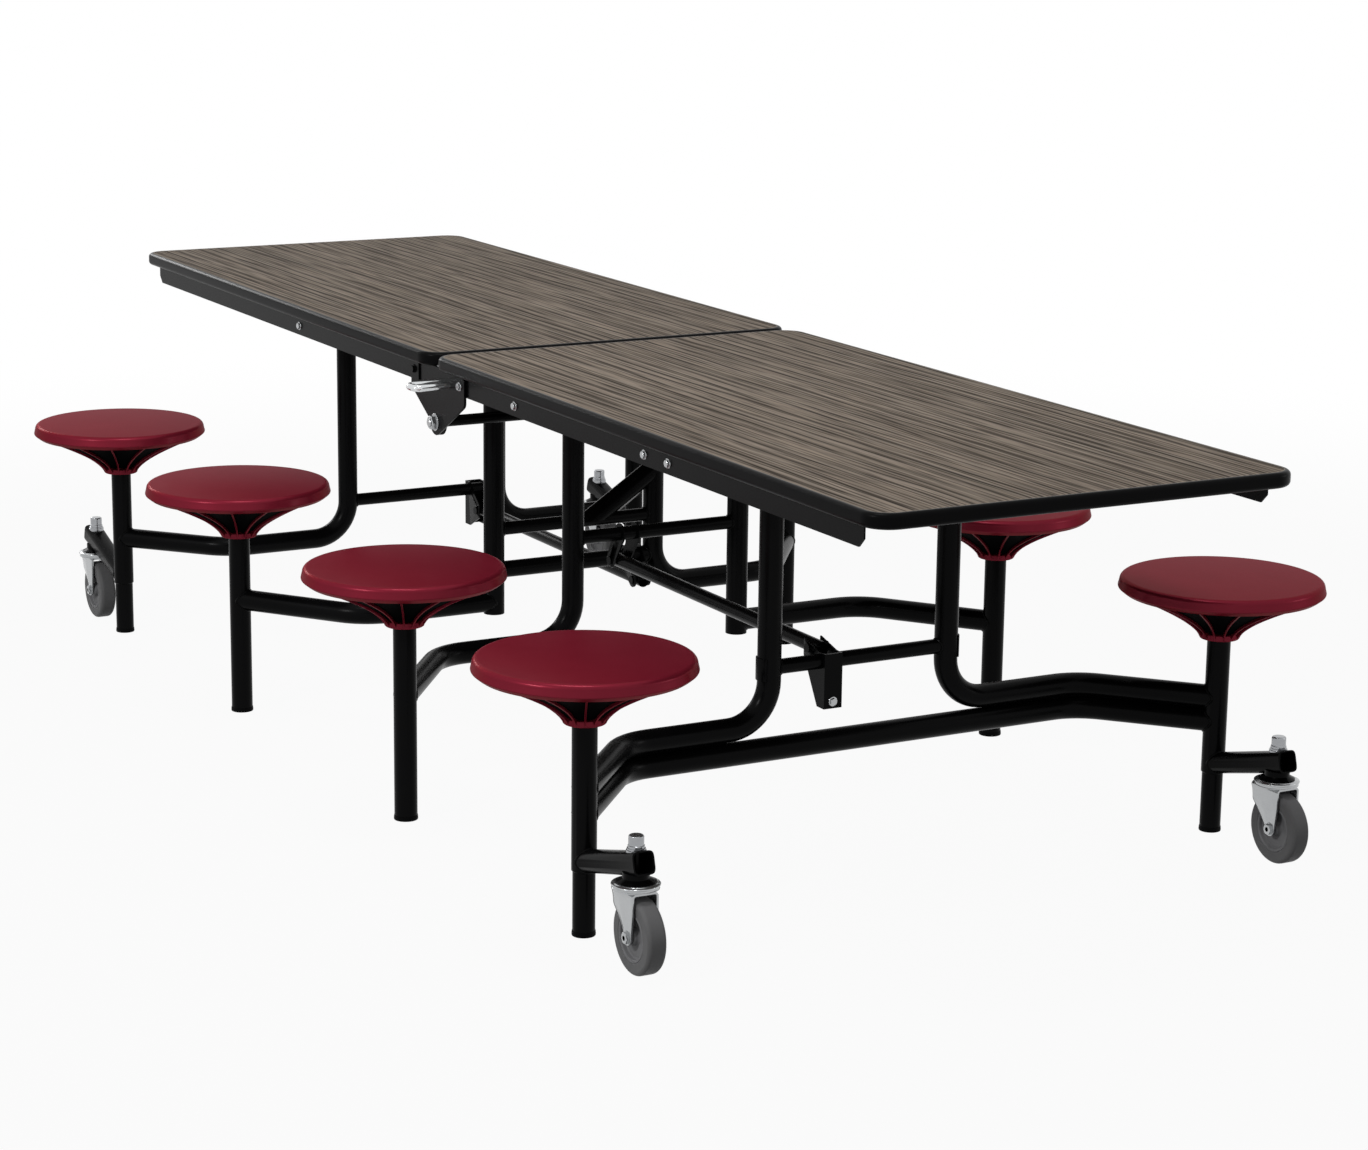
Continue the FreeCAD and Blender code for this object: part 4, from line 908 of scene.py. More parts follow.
def rib_outline():
    """One rib, from the socket along the skin to the rim, and down its hollow edge over the collar."""
    inner = SOCKET_R + SOCKET_WALL / 2
    foot_z = SEAT_BOTTOM + RIB_FOOT_EASE
    points = [(inner, SEAT_TOP - RIB_TOP_DROP), (RIB_RIM_R, SEAT_TOP - RIB_TOP_DROP)]
    points += [(radius, SEAT_TOP - drop) for radius, drop in RIB_HOLLOW]
    return points + [(RIB_FOOT_R - RIB_FOOT_EASE, foot_z), (inner, foot_z)]


RIB_HOLLOW = curve_between((RIB_RIM_R, RIB_RIM_DROP), RIB_PULLS, (RIB_FOOT_R, RIB_FOOT_DROP), RIB_STEPS)
rib_mesh = plate_mesh("seat_rib", rib_outline(), RIB_THICK, RIB_BEVEL)
ribs_mesh = grown_mesh("seat_ribs", rib_mesh, RING_TREE, {"Count": RIB_COUNT, "Finish": SEAT_ABS})
print("ribs", len(ribs_mesh.polygons), "faces")

# %% Painted shade between the ribs
SHADE_FILL_BACK = 2.0
SHADE_FILL_RISE = 4.0
SHADE_FILL_TOP_DROP = 14.0


def shade_fill_profile():
    """Profile of the painted shade fill: the hollow of the ribs set back, and up inside along the socket."""
    deepest = SEAT_DEPTH - COLLAR_HEIGHT
    face = [(radius - SHADE_FILL_BACK, drop - SHADE_FILL_RISE) for radius, drop in RIB_HOLLOW]
    face = [(radius, drop) for radius, drop in face if drop < deepest]
    inner = SOCKET_R + SOCKET_WALL
    outline = face + [(inner, face[-1][1]), (inner, SHADE_FILL_TOP_DROP), (face[0][0], SHADE_FILL_TOP_DROP)]
    return [(radius, SEAT_TOP - drop) for radius, drop in outline]


# Painted shade: a near-black fill a little behind the ribs, in the hollow under the seat.
shade_fill_mesh = turned_mesh("seat_core", shade_fill_profile(), SEAT_SEGMENTS, closed=True)
shade_by_angle(shade_fill_mesh)
print("painted_shade", len(shade_fill_mesh.polygons), "faces")

# %% Set the eight seats on their posts
END_POST_X = 1070.0
INNER_POST_X = 390.0
POST_Y = 604.0
SIGNS = {"near": 1, "far": -1, "front": -1, "back": 1}
SEAT_PLACES = {"end": END_POST_X, "inner": INNER_POST_X}


def moved(x_mm, y_mm, z_mm=0):
    """The move to a place in millimetres."""
    return Matrix.Translation(Vector((x_mm, y_mm, z_mm)) * MM)


def placed(mesh, x_mm, y_mm, z_mm=0):
    """A copy of a mesh moved to a place in millimetres."""
    copy = mesh.copy()
    copy.transform(moved(x_mm, y_mm, z_mm))
    return copy


for half in NEAR_AND_FAR:
    for row in ("front", "back"):
        for spot, post_x in SEAT_PLACES.items():
            seat = "seat_" + half + "_" + spot + "_" + row
            x = SIGNS[half] * post_x
            y = SIGNS[row] * POST_Y
            show_piece(seat + "_shell", placed(shell_mesh, x, y), SEAT_ABS, seat, [seat])
            show_piece(seat + "_ribs", placed(ribs_mesh, x, y), SEAT_ABS, seat)
            # Painted shade: the near-black fill in the hollow under each seat.
            show_piece(seat + "_core", placed(shade_fill_mesh, x, y), SHADE_FILL_BLACK, seat)
print("eight seats")

# %% [markdown]
# ## Casters
# A caster is a pressed steel fork that turns under a ball race, with a grey wheel on an axle bolt. The fork
# is one strip of sheet bent to a U over the wheel: wide at the crown, with one edge near upright and the
# other slanting in to the eye, and each leg is creased along its length to stiffen it. So it is made as a
# strip along the U whose two edges follow that outline, given its thickness and eased edges by modifiers.

# %% Outline of the fork
WHEEL_R = 60.0
TRAIL = 14.0
FORK_TOP = 131.5
FORK_HALF = 22.5
FORK_BEND_R = 7.0
FORK_EYE_R = 12.0
FORK_BACK = -38.0
FORK_FRONT = 31.0
FORK_SLANT_TOP = 99.0
FORK_ROWS = 28
ROW_POWER = 1.3


def fork_edges(z):
    """The back and front edge of a fork leg at a height, in millimetres from the stem."""
    if z < WHEEL_R:
        half_mm = math.sqrt(max(FORK_EYE_R ** 2 - (WHEEL_R - z) ** 2, 0))
        return TRAIL - half_mm, TRAIL + half_mm
    share = min((z - WHEEL_R) / (FORK_SLANT_TOP - WHEEL_R), 1)
    back = (TRAIL - FORK_EYE_R) * (1 - share) + FORK_BACK * share
    front = (TRAIL + FORK_EYE_R) * (1 - share) + FORK_FRONT * share
    return back, front


def fork_path():
    """Points (y, z) along the outside of the U, from one eye over the crown to the other."""
    side = []
    low = WHEEL_R - FORK_EYE_R
    bend_z = FORK_TOP - FORK_BEND_R
    for k in range(FORK_ROWS):
        side.append((-FORK_HALF, low + (bend_z - low) * (k / FORK_ROWS) ** ROW_POWER))
    side += arc_points((-FORK_HALF + FORK_BEND_R, bend_z), FORK_BEND_R, 180, 90)
    return side + [(-y, z) for y, z in reversed(side)]


print("the strip of the fork has", len(fork_path()), "rows")

# %% Pressed fork
FORK_WALL = 3.5
FORK_FOLD_SHARE = 0.42
FORK_FOLD_IN = 4.5
FOLD_POWER = 0.6
FORK_COLUMNS = 12
SHEET_EASE = 0.7
EASE_STEPS = 2


def fork_mesh():
    """The fork's sheet about the stem's axis, without its race and axle, outside facing out."""
    work = bmesh.new()
    rows = []
    for y, z in fork_path():
        back, front = fork_edges(z)
        height_share = min(max((FORK_TOP - FORK_BEND_R - z) / (FORK_TOP - WHEEL_R), 0), 1)
        crease = FORK_FOLD_IN * math.sin(math.pi * height_share) ** FOLD_POWER
        row = []
        for k in range(FORK_COLUMNS + 1):
            share = k / FORK_COLUMNS
            fold = max(FORK_FOLD_SHARE - share, 0) / FORK_FOLD_SHARE * crease
            spot = Vector((back + (front - back) * share, y - math.copysign(fold, y), z))
            row.append(work.verts.new(spot * MM))
        rows.append(row)
    skin_between(work, rows, closed=False)
    bmesh.ops.remove_doubles(work, verts=work.verts, dist=MERGE_MM * MM)
    bmesh.ops.recalc_face_normals(work, faces=work.faces)
    crown = max(work.faces, key=lambda face: face.calc_center_median().z)
    if crown.normal.z < 0:
        bmesh.ops.reverse_faces(work, faces=work.faces)
    return mesh_from(work, "fork_sheet")


def thickened(mesh, thick_mm, ease_mm):
    """A sheet given its thickness inward and eased edges."""
    maker = bpy.data.objects.new(mesh.name, mesh)
    scene.collection.objects.link(maker)
    solid = maker.modifiers.new("thickness", "SOLIDIFY")
    solid.thickness = thick_mm * MM
    solid.offset = -1
    ease = maker.modifiers.new("ease", "BEVEL")
    ease.width = ease_mm * MM
    ease.segments = EASE_STEPS
    ease.limit_method = "ANGLE"
    ease.angle_limit = math.radians(SHARP_DEG * 2)
    return plain_mesh(maker)


fork_sheet = thickened(fork_mesh(), FORK_WALL, SHEET_EASE)
print("fork sheet", len(fork_sheet.polygons), "faces")

# %% [markdown]
# ### Bolts
# A bolt head or nut has six flat sides, and its top corners are turned off, which leaves a curved edge on
# every side. A plain six-sided prism would lack that edge, so the height of each point round the head depends
# on how far it is from the axis. Parts that make one piece, such as a fork, its race and its axle, are then
# joined to one mesh.

# %% Hex heads and joining
HEX_SIDES = 6
HEX_STEPS = HEX_SIDES * 8
HEX_SLOPE_SHARE = 0.6
HEX_RIM_SHARE = 0.08
HEX_CROWN_SHARE = 0.93
AS_MADE = Matrix.Identity(4)


def hex_head(name, corner_r, thick, hole_r=0):
    """A six-sided bolt head or nut standing on Z 0, with its top corners turned off as on a real one."""
    flat = corner_r * math.cos(math.pi / HEX_SIDES)
    work = bmesh.new()
    outline = []
    for k in range(HEX_STEPS):
        angle = FULL_TURN * k / HEX_STEPS
        within = (angle % (FULL_TURN / HEX_SIDES)) - math.pi / HEX_SIDES
        reach = flat / math.cos(within)
        shoulder = thick - (reach - flat) * HEX_SLOPE_SHARE - thick * HEX_RIM_SHARE
        stations = [(reach, 0), (reach, shoulder), (flat * HEX_CROWN_SHARE, thick)]
        if hole_r:
            stations.append((hole_r, thick))
        way = Vector((math.cos(angle), math.sin(angle), 0))
        outline.append([work.verts.new((way * radius + Vector((0, 0, z))) * MM) for radius, z in stations])
    rings = [list(ring) for ring in zip(*outline)]
    skin_between(work, rings)
    work.faces.new(rings[0][::-1])
    work.faces.new(rings[-1])
    bmesh.ops.recalc_face_normals(work, faces=work.faces)
    return mesh_from(work, name)


def joined(name, parts):
    """One shaded mesh of several (mesh, matrix) parts."""
    work = bmesh.new()
    for part, matrix in parts:
        copy = part.copy()
        copy.transform(matrix)
        work.from_mesh(copy)
        bpy.data.meshes.remove(copy)
    mesh = mesh_from(work, name)
    shade_by_angle(mesh)
    return mesh


def facing_y(sign):
    """The turn that points a part that stands on Z towards -Y or +Y."""
    return Matrix.Rotation(-sign * math.pi / 2, 4, "X")


def rod_profile(radius, low, high):
    """The profile of a plain rod or disc between two heights."""
    return [(0, low), (radius, low), (radius, high), (0, high)]


print("a hex head has", HEX_STEPS, "points round it")

# %% [markdown]
# ### Race and axle
# The race is a ball bearing on the crown of the fork, a turned ring with a groove and a rolled lip. The axle
# is a bolt through both eyes, with a washer and a nut at each end. All of this moves with the fork, so it is
# one piece with the fork's sheet.

# %% Race and axle
# Here and below, a table of pairs holds a profile's (outward, upward) offsets from one corner.
RACE_R = 38.0
RACE_TOP = 141.5
RACE_GROOVE = ((-1.6, 0), (-1.6, 1.2), (-2.4, 2.0), (-2.4, 5.2))
RACE_LIP = 1.6
RACE_LIP_RISE = 6.8
RACE_SHOULDER = ((-4.0, -0.8), (-5.0, 0))
STEM_HOLE_R = 6.8
AXLE_R = 6.0
AXLE_HEAD_R = 9.5
AXLE_HEAD_THICK = 5.0
AXLE_WASHER_R = 11.0
AXLE_WASHER_THICK = 1.2
BOLT_R = 5.0
BOLT_TIP = ((0, -0.8), (-1.0, 0))
TURN_SEGMENTS = 64
BOLT_SEGMENTS = 32

race_profile = [(STEM_HOLE_R, FORK_TOP), *steps_from(RACE_R, FORK_TOP, RACE_GROOVE)]
race_profile += arc_points((RACE_R - RACE_LIP, FORK_TOP + RACE_LIP_RISE), RACE_LIP, -90, 90)
race_profile += [*steps_from(RACE_R, RACE_TOP, RACE_SHOULDER), (STEM_HOLE_R, RACE_TOP)]
race_mesh = turned_mesh("race", race_profile, TURN_SEGMENTS, closed=True)
axle_rod = turned_mesh("axle_rod", rod_profile(AXLE_R, -FORK_HALF, FORK_HALF), BOLT_SEGMENTS)
axle_washer = turned_mesh("axle_washer", rod_profile(AXLE_WASHER_R, 0, AXLE_WASHER_THICK), BOLT_SEGMENTS)
axle_nut = hex_head("axle_nut", AXLE_HEAD_R, AXLE_HEAD_THICK - AXLE_WASHER_THICK)
bolt_profile = [(0, 0), (BOLT_R, 0), *steps_from(BOLT_R, AXLE_HEAD_THICK, BOLT_TIP), (0, AXLE_HEAD_THICK)]
axle_tip = turned_mesh("axle_tip", bolt_profile, BOLT_SEGMENTS)
fork_parts = [(fork_sheet, AS_MADE), (race_mesh, AS_MADE)]
fork_parts.append((axle_rod, moved(TRAIL, 0, WHEEL_R) @ facing_y(1)))
for sign in (-1, 1):
    seat_on = moved(TRAIL, sign * FORK_HALF, WHEEL_R) @ facing_y(sign)
    fork_parts += [(axle_washer, seat_on), (axle_nut, seat_on @ moved(0, 0, AXLE_WASHER_THICK))]
    fork_parts.append((axle_tip, seat_on))
fork_whole = joined("caster_fork", fork_parts)
print("fork with race and axle", len(fork_whole.polygons), "faces")

# %% [markdown]
# ### Wheel
# The tyre is moulded round the hub, with a flat tread between rounded shoulders. The hub has a boss round its
# bore, a thin web and a rim with a lip at the tyre. Both are alike on either side of the middle, so half of
# each profile is written and the other half mirrors it.

# %% Tyre and hub
WHEEL_HALF = 16.0
WHEEL_SEGMENTS = 96
TYRE_EASE = 1.2
TYRE_ROUND = 7.0
TYRE_ROUND_STEPS = 8
TYRE_ROUND_TO_DEG = 10
TYRE_FLAT_IN = 2.5
HUB_R = 40.0
HUB_BORE = 6.08
HUB_BOSS_R = 13.0
HUB_WEB_HALF = 8.0
HUB_RIM_IN = 35.0
HUB_EASE = 2.0
HUB_DRAFT = 1.0
HUB_RIM = ((0, -1.6), (1.4, -0.4))
HUB_LIP = ((-1.0, -0.4), (-0.05, -1.4))


def wheel_mesh(name, half_profile):
    """A part of the wheel on an axle along Y, from the half of its profile on one side of the middle."""
    profile = half_profile + [(radius, -height) for radius, height in reversed(half_profile)]
    mesh = turned_mesh(name, profile, WHEEL_SEGMENTS, closed=True)
    mesh.transform(facing_y(-1))
    shade_by_angle(mesh)
    print(name, len(mesh.polygons), "faces")
    return mesh


tyre_in = WHEEL_R - TYRE_ROUND
shoulder = (tyre_in, WHEEL_HALF - TYRE_ROUND)
tyre_half = [(HUB_R, WHEEL_HALF - TYRE_EASE), (HUB_R + TYRE_EASE, WHEEL_HALF), (tyre_in, WHEEL_HALF)]
tyre_half += arc_points(shoulder, TYRE_ROUND, 90, TYRE_ROUND_TO_DEG, TYRE_ROUND_STEPS)[1:]
tyre_half += [(WHEEL_R, WHEEL_HALF - TYRE_ROUND - TYRE_FLAT_IN)]
hub_half = [(HUB_BORE, WHEEL_HALF), *steps_from(HUB_BOSS_R, WHEEL_HALF, ((-HUB_EASE, 0), (0, -HUB_EASE)))]
hub_half += steps_from(HUB_BOSS_R + HUB_DRAFT, HUB_WEB_HALF, ((0, HUB_EASE), (HUB_EASE, 0)))
hub_half += steps_from(HUB_RIM_IN - HUB_DRAFT, HUB_WEB_HALF, ((-HUB_EASE, 0), (0, HUB_EASE)))
hub_half += steps_from(HUB_RIM_IN, WHEEL_HALF, HUB_RIM)
hub_half += steps_from(HUB_R, WHEEL_HALF, HUB_LIP)
tyre_mesh = wheel_mesh("tyre", tyre_half)
hub_mesh = wheel_mesh("hub", hub_half)

# %% Set the four casters
STEM_X = 1242.0

for half in NEAR_AND_FAR:
    for row in ("front", "back"):
        caster = "caster_" + half + "_" + row
        x = SIGNS[half] * STEM_X
        y = SIGNS[row] * POST_Y
        fork = caster + "_fork"
        show_piece(fork + "_sheet", placed(fork_whole, x, y), ZINC, fork, [fork])
        for mesh, finish, piece, node in ((tyre_mesh, TYRE_RUBBER, "_tyre_ring", "_tyre"),
                                          (hub_mesh, HUB_PLASTIC, "_hub_disc", "_hub")):
            show_piece(caster + piece, placed(mesh, x + TRAIL, y, WHEEL_R), finish, caster + "_wheel",
                       [caster + node])
print("four casters")

# %% [markdown]
# ## Nuts and screws
# The caster stems end in a closed nut on a washer, on top of the arm. The rails carry flanged screws, and the
# hinge shaft a washer and nut at each end. Screws and shaft nuts are made once, and a tree sets one on every
# spot of its kind: the spots are bare points that carry the direction in which the fastener faces.

# %% Geometry Nodes: fasteners on spots
def fastener_tree():
    """Copies of an object on points, each standing along the point's own direction."""
    tree, given = new_tree("fasteners_on_spots", [("Fastener", "NodeSocketObject")])
    item = add_node(tree, "GeometryNodeObjectInfo", {"Object": given.outputs["Fastener"]})
    facing = add_node(tree, "GeometryNodeInputNamedAttribute", {"Name": "facing"}, data_type="FLOAT_VECTOR")
    turn = add_node(tree, "FunctionNodeAlignRotationToVector",
                    {"Vector": facing.outputs["Attribute"]}, axis="Z")
    copies = add_node(tree, "GeometryNodeInstanceOnPoints",
                      {"Points": given.outputs["Geometry"], "Instance": item.outputs["Geometry"],
                       "Rotation": turn})
    return end_tree(tree, given, copies)


FASTENER_TREE = fastener_tree()


def show_fasteners(name, item_mesh, spots, finish, body, nodes=()):
    """A piece that is the item on every (place, facing) spot, in millimetres."""
    base = bpy.data.meshes.new(name + "_spots")
    base.from_pydata([tuple(Vector(place) * MM) for place, facing in spots], [], [])
    base.attributes.new("facing", "FLOAT_VECTOR", "POINT")
    for k, (place, facing) in enumerate(spots):
        base.attributes["facing"].data[k].vector = facing
    item = bpy.data.objects.new(name + "_item", item_mesh)
    scene.collection.objects.link(item)
    mesh = grown_mesh(name, base, FASTENER_TREE, {"Fastener": item, "Finish": finish})
    bpy.data.objects.remove(item)
    show_piece(name, mesh, finish, body, nodes)
    print(name, len(spots), "set")


# %% Flanged rail screws
SCREW_FLANGE_R = 8.4
SCREW_FLANGE = ((-0.3, 0), (0, 0.4), (-0.4, 1.2))
SCREW_HEX_R = 6.8
SCREW_HEX_FOOT = 1.5
SCREW_HEAD = 4.8
SCREW_DISH_R = 3.8
SCREW_SHANK_R = 3.0
SCREW_SHANK = 6.0
RAIL_FACE_Y = 364.0
PLATE_THICK = 5.0
PLATE_FACE_Y = RAIL_FACE_Y + PLATE_THICK
SCREW_Z = 694.0
FRONT_SCREWS = (322.0, 803.0, 884.0)
BACK_SCREWS = (664.0,)
HINGE_SCREW = 105.0


def rail_spot(sign, side, x, face_y=RAIL_FACE_Y):
    """The place and facing of a screw on one half, whose own front is side -1."""
    return (sign * x, sign * side * face_y, SCREW_Z), (0, sign * side, 0)


flange_profile = [(0, -SCREW_SHANK), (SCREW_SHANK_R, -SCREW_SHANK), (SCREW_SHANK_R, 0)]
flange_profile += steps_from(SCREW_FLANGE_R, 0, SCREW_FLANGE)
flange_profile += [(SCREW_HEX_R, SCREW_HEX_FOOT), (0, SCREW_HEX_FOOT)]
screw_flange = turned_mesh("screw_flange", flange_profile, BOLT_SEGMENTS)
screw_hex = hex_head("screw_hex", SCREW_HEX_R, SCREW_HEAD, SCREW_DISH_R)
screw_mesh = joined("rail_screw", [(screw_flange, AS_MADE), (screw_hex, AS_MADE)])
for half in NEAR_AND_FAR:
    sign = SIGNS[half]
    spots = [rail_spot(sign, -1, x) for x in FRONT_SCREWS]
    spots += [rail_spot(sign, 1, x) for x in BACK_SCREWS]
    spots.append(rail_spot(sign, -1, HINGE_SCREW, PLATE_FACE_Y))
    top = half + "_top"
    show_fasteners(half + "_rail_screw_heads", screw_mesh, spots, ZINC, top, [half + "_rail_screws"])
    dark_spots = [rail_spot(sign, 1, HINGE_SCREW)]
    show_fasteners(half + "_hinge_screw_head", screw_mesh, dark_spots, BLACK_STEEL, top)

# %% [markdown]
# ## Hinge plates
# Each half has two plates that meet the other half's plates on the shaft: one outside the rail, with a lobe
# behind the shaft, and one inside the other rail, with an ear that closes the view between the halves. Each
# outline is a sheet stretched round discs, so its corners are round. A web carries the rail on behind the
# outer plate as far as the gap. The far plates are the near ones turned half round.

# %% Hinge plates
# A disc is (x, z, radius) in millimetres.
HINGE_Z = 612.0
HINGE_EYE = (0, HINGE_Z, 24.0)
HINGE_FRONT_CORNERS = ((113.0, 700.0, 12.0), (113.0, 666.0, 12.0))
HINGE_LOBE = (-50.0, 670.0, 12.0)
HINGE_EAR = (6.0, 700.0, 12.0)
RAIL_WALL = 3.0
WEB_WALL = 2.6
WEB_X = (6.5, 86.0)
WEB_Z = (676.0, 712.0)
HINGE_EASE = 0.6
DISC_STEPS = 48
HALF_TURN = {"near": AS_MADE, "far": Matrix.Rotation(math.pi, 4, "Z")}


def outline_round(discs):
    """The outline of a sheet stretched round discs."""
    spots = []
    for x, z, radius in discs:
        spots += arc_points((x, z), radius, 0, 360, DISC_STEPS)
    spots.sort()
    outline = []
    for run in (spots, spots[::-1]):
        chain = []
        for spot in run:
            while len(chain) > 1:
                (ax, az), (bx, bz) = chain[-2:]
                if (bx - ax) * (spot[1] - az) - (bz - az) * (spot[0] - ax) > MERGE_MM:
                    break
                chain.pop()
            chain.append(spot)
        outline += chain[:-1]
    return outline


outer_outline = outline_round((HINGE_EYE, HINGE_LOBE, *HINGE_FRONT_CORNERS))
inner_outline = outline_round((HINGE_EYE, HINGE_EAR, *HINGE_FRONT_CORNERS))
web_outline = [(WEB_X[0], WEB_Z[0]), (WEB_X[1], WEB_Z[0]), (WEB_X[1], WEB_Z[1]), (WEB_X[0], WEB_Z[1])]
hinge_parts = []
for outline, thick, middle_y in ((outer_outline, PLATE_THICK, -RAIL_FACE_Y - PLATE_THICK / 2),
                                 (inner_outline, PLATE_THICK, RAIL_FACE_Y - RAIL_WALL - PLATE_THICK / 2),
                                 (web_outline, WEB_WALL, -RAIL_FACE_Y + WEB_WALL / 2)):
    hinge_parts.append((plate_mesh("hinge_plate", outline, thick, HINGE_EASE), moved(0, middle_y)))
for half in NEAR_AND_FAR:
    plates = joined(half + "_hinge_plates", [(mesh, HALF_TURN[half] @ place) for mesh, place in hinge_parts])
    show_piece(half + "_hinge_plate_pair", plates, BLACK_STEEL, half + "_top", [half + "_hinge_plates"])
print("hinge plates,", len(outer_outline), "and", len(inner_outline), "corners")

# %% [markdown]
# ## Hinge shaft
# Both halves turn on one black shaft across the table. Its threaded tips carry a plated washer and nut
# outside the plates. The thread is a stack of turned ridges at the real pitch, because its slope wouldn't
# show.

# %% Hinge shaft and its nuts
SHAFT_R = 10.0
SHAFT_REACH = 383.0
WASHER_R = 16.0
WASHER_THICK = 2.0
WASHER_EASE = 0.4
NUT_R = 13.6
NUT_THICK = 9.6
THREAD_R = 8.0
THREAD_PITCH = 1.75
THREAD_DEPTH = 0.7
THREAD_TURNS = 7
THREAD_TIP = 1.2
THREAD_LEAD = 0.6

tip_profile = [(0, SHAFT_REACH), (THREAD_R - THREAD_TIP, SHAFT_REACH)]
for k in range(THREAD_TURNS):
    start = SHAFT_REACH - THREAD_LEAD - k * THREAD_PITCH
    tip_profile += [(THREAD_R - THREAD_DEPTH, start), (THREAD_R, start - THREAD_PITCH / 2)]
tip_profile += [(THREAD_R, PLATE_FACE_Y), (0, PLATE_FACE_Y)]
shaft_rod = turned_mesh("hinge_shaft_rod", rod_profile(SHAFT_R, -PLATE_FACE_Y, PLATE_FACE_Y), BOLT_SEGMENTS)
shaft_tip = turned_mesh("hinge_shaft_tip", tip_profile, BOLT_SEGMENTS)
at_hinge = [moved(0, 0, HINGE_Z) @ facing_y(sign) for sign in (-1, 1)]
rod_mesh = joined("hinge_shaft", [(shaft_rod, at_hinge[0])])
tips_mesh = joined("hinge_shaft_tips", [(shaft_tip, place) for place in at_hinge])
show_piece("near_hinge_shaft_rod", rod_mesh, BLACK_STEEL, "near_top", ["near_hinge_shaft"])
show_piece("near_hinge_shaft_tips", tips_mesh, ZINC, "near_top")
washer_profile = [(THREAD_R, 0), *steps_from(WASHER_R, 0, ((-WASHER_EASE, 0), (0, WASHER_EASE)))]
washer_profile += steps_from(WASHER_R, WASHER_THICK, ((0, -WASHER_EASE), (-WASHER_EASE, 0)))
washer_profile += [(THREAD_R, WASHER_THICK)]
shaft_washer = turned_mesh("shaft_washer", washer_profile, TURN_SEGMENTS, closed=True)
shaft_nut = hex_head("shaft_nut", NUT_R, NUT_THICK, THREAD_R)
nut_mesh = joined("shaft_nut", [(shaft_washer, AS_MADE), (shaft_nut, moved(0, 0, WASHER_THICK))])
nut_spots = [((0, sign * PLATE_FACE_Y, HINGE_Z), (0, sign, 0)) for sign in (-1, 1)]
show_fasteners("near_hinge_shaft_nuts", nut_mesh, nut_spots, ZINC, "near_top")

# %% [markdown]
# ## Caster arms and stems
# An arm rises from each end post to its caster. It starts as a round tube and is pressed square at the tip,
# so a smooth copy of the posts is reshaped: past the round part, each point of the arm is pushed out towards
# a rounded square. A stem runs through the tip, with a stepped black foot below and a plated cap on top,
# whose foot is cut to the slope of the arm.

# %% Caster arms
ARM_POST_Z = 123.0
ARM_REACH = 172.0
ARM_TIP_Z = 170.0
ARM_RISE = ARM_TIP_Z - ARM_POST_Z
ARM_R = 18.5
ARM_ROUND_TO = 30.0
ARM_SQUARE_FROM = 110.0
SQUARE_POWER = 5


def posts_with_arms(half):
    """A smooth copy of the end posts, whose arms are pressed from round at the post to square at the tip."""
    node = half + "_end_posts"
    mesh = merged_copy(node)
    way = Vector((SIGNS[half] * ARM_REACH, 0, ARM_RISE)).normalized()
    upward = Vector((0, 1, 0)).cross(way)
    for vertex in mesh.vertices:
        root = Vector((SIGNS[half] * END_POST_X, math.copysign(POST_Y, vertex.co.y), ARM_POST_Z))
        offset = vertex.co / MM - root
        along = offset.dot(way)
        if along > ARM_ROUND_TO:
            across = Vector((0, offset.y, 0)) + upward * offset.dot(upward)
            cosine = abs(offset.y) / across.length
            sine = abs(offset.dot(upward)) / across.length
            grow = (cosine ** SQUARE_POWER + sine ** SQUARE_POWER) ** (-1 / SQUARE_POWER)
            share = min((along - ARM_ROUND_TO) / (ARM_SQUARE_FROM - ARM_ROUND_TO), 1)
            vertex.co += across * (grow - 1) * share * MM
    shade_by_angle(mesh)
    show_piece(node + "_finish", mesh, BLACK_STEEL, half + "_end_frame", [node])


for half in NEAR_AND_FAR:
    posts_with_arms(half)
print("end posts with their arms")

# %% Caster stems
STEM_R = 6.5
STEM_PLATE_Z = 141.9
STEM_FLANGE_R = 30.0
STEM_FLANGE = ((-0.8, 0), (0, 0.8))
STEM_SEAT_R = 21.0
STEM_SEAT_STEP = 146.9
STEM_SEAT = ((1.5, 0), (0, 1.0))
STEM_SEAT_TOP = 157.0
# The steps of the cap are (radius, height above the top of its washer).
CAP_Z = 194.5
CAP_STEPS = ((0, -10.0), (15.0, -10.0), (15.5, -6.0), (15.5, -3.0), (15.0, -2.6), (14.3, -2.4), (14.3, 0),
             (13.0, 0.4), (13.0, 4.0), (12.2, 4.6), (12.2, 5.2), (12.0, 5.6))
CAP_TOP_R = 12.0
CAP_TOP_Z = 214.5
CAP_ROUND = 3.0
CAP_SUNK = 1.2

foot_profile = [(STEM_R, STEM_PLATE_Z), *steps_from(STEM_FLANGE_R, STEM_PLATE_Z, STEM_FLANGE)]
foot_profile += steps_from(STEM_SEAT_R, STEM_SEAT_STEP, STEM_SEAT)
foot_profile += [(STEM_SEAT_R, STEM_SEAT_TOP), (STEM_R, STEM_SEAT_TOP)]
stem_foot = turned_mesh("stem_foot", foot_profile, TURN_SEGMENTS, closed=True)
stem_rod = turned_mesh("stem_rod", rod_profile(STEM_R, FORK_TOP, ARM_TIP_Z + ARM_R), BOLT_SEGMENTS)
cap_profile = steps_from(0, CAP_Z, CAP_STEPS)
cap_profile += arc_points((CAP_TOP_R - CAP_ROUND, CAP_TOP_Z - CAP_ROUND), CAP_ROUND, 0, 90)
cap_profile += [(0, CAP_TOP_Z)]
stem_cap = turned_mesh("stem_cap", cap_profile, TURN_SEGMENTS)
arm_slope = ARM_RISE / ARM_REACH
arm_top = ARM_TIP_Z + ARM_R * math.hypot(1, arm_slope) - CAP_SUNK
for vertex in stem_cap.vertices:
    vertex.co.z = max(vertex.co.z, arm_top * MM + arm_slope * vertex.co.x)
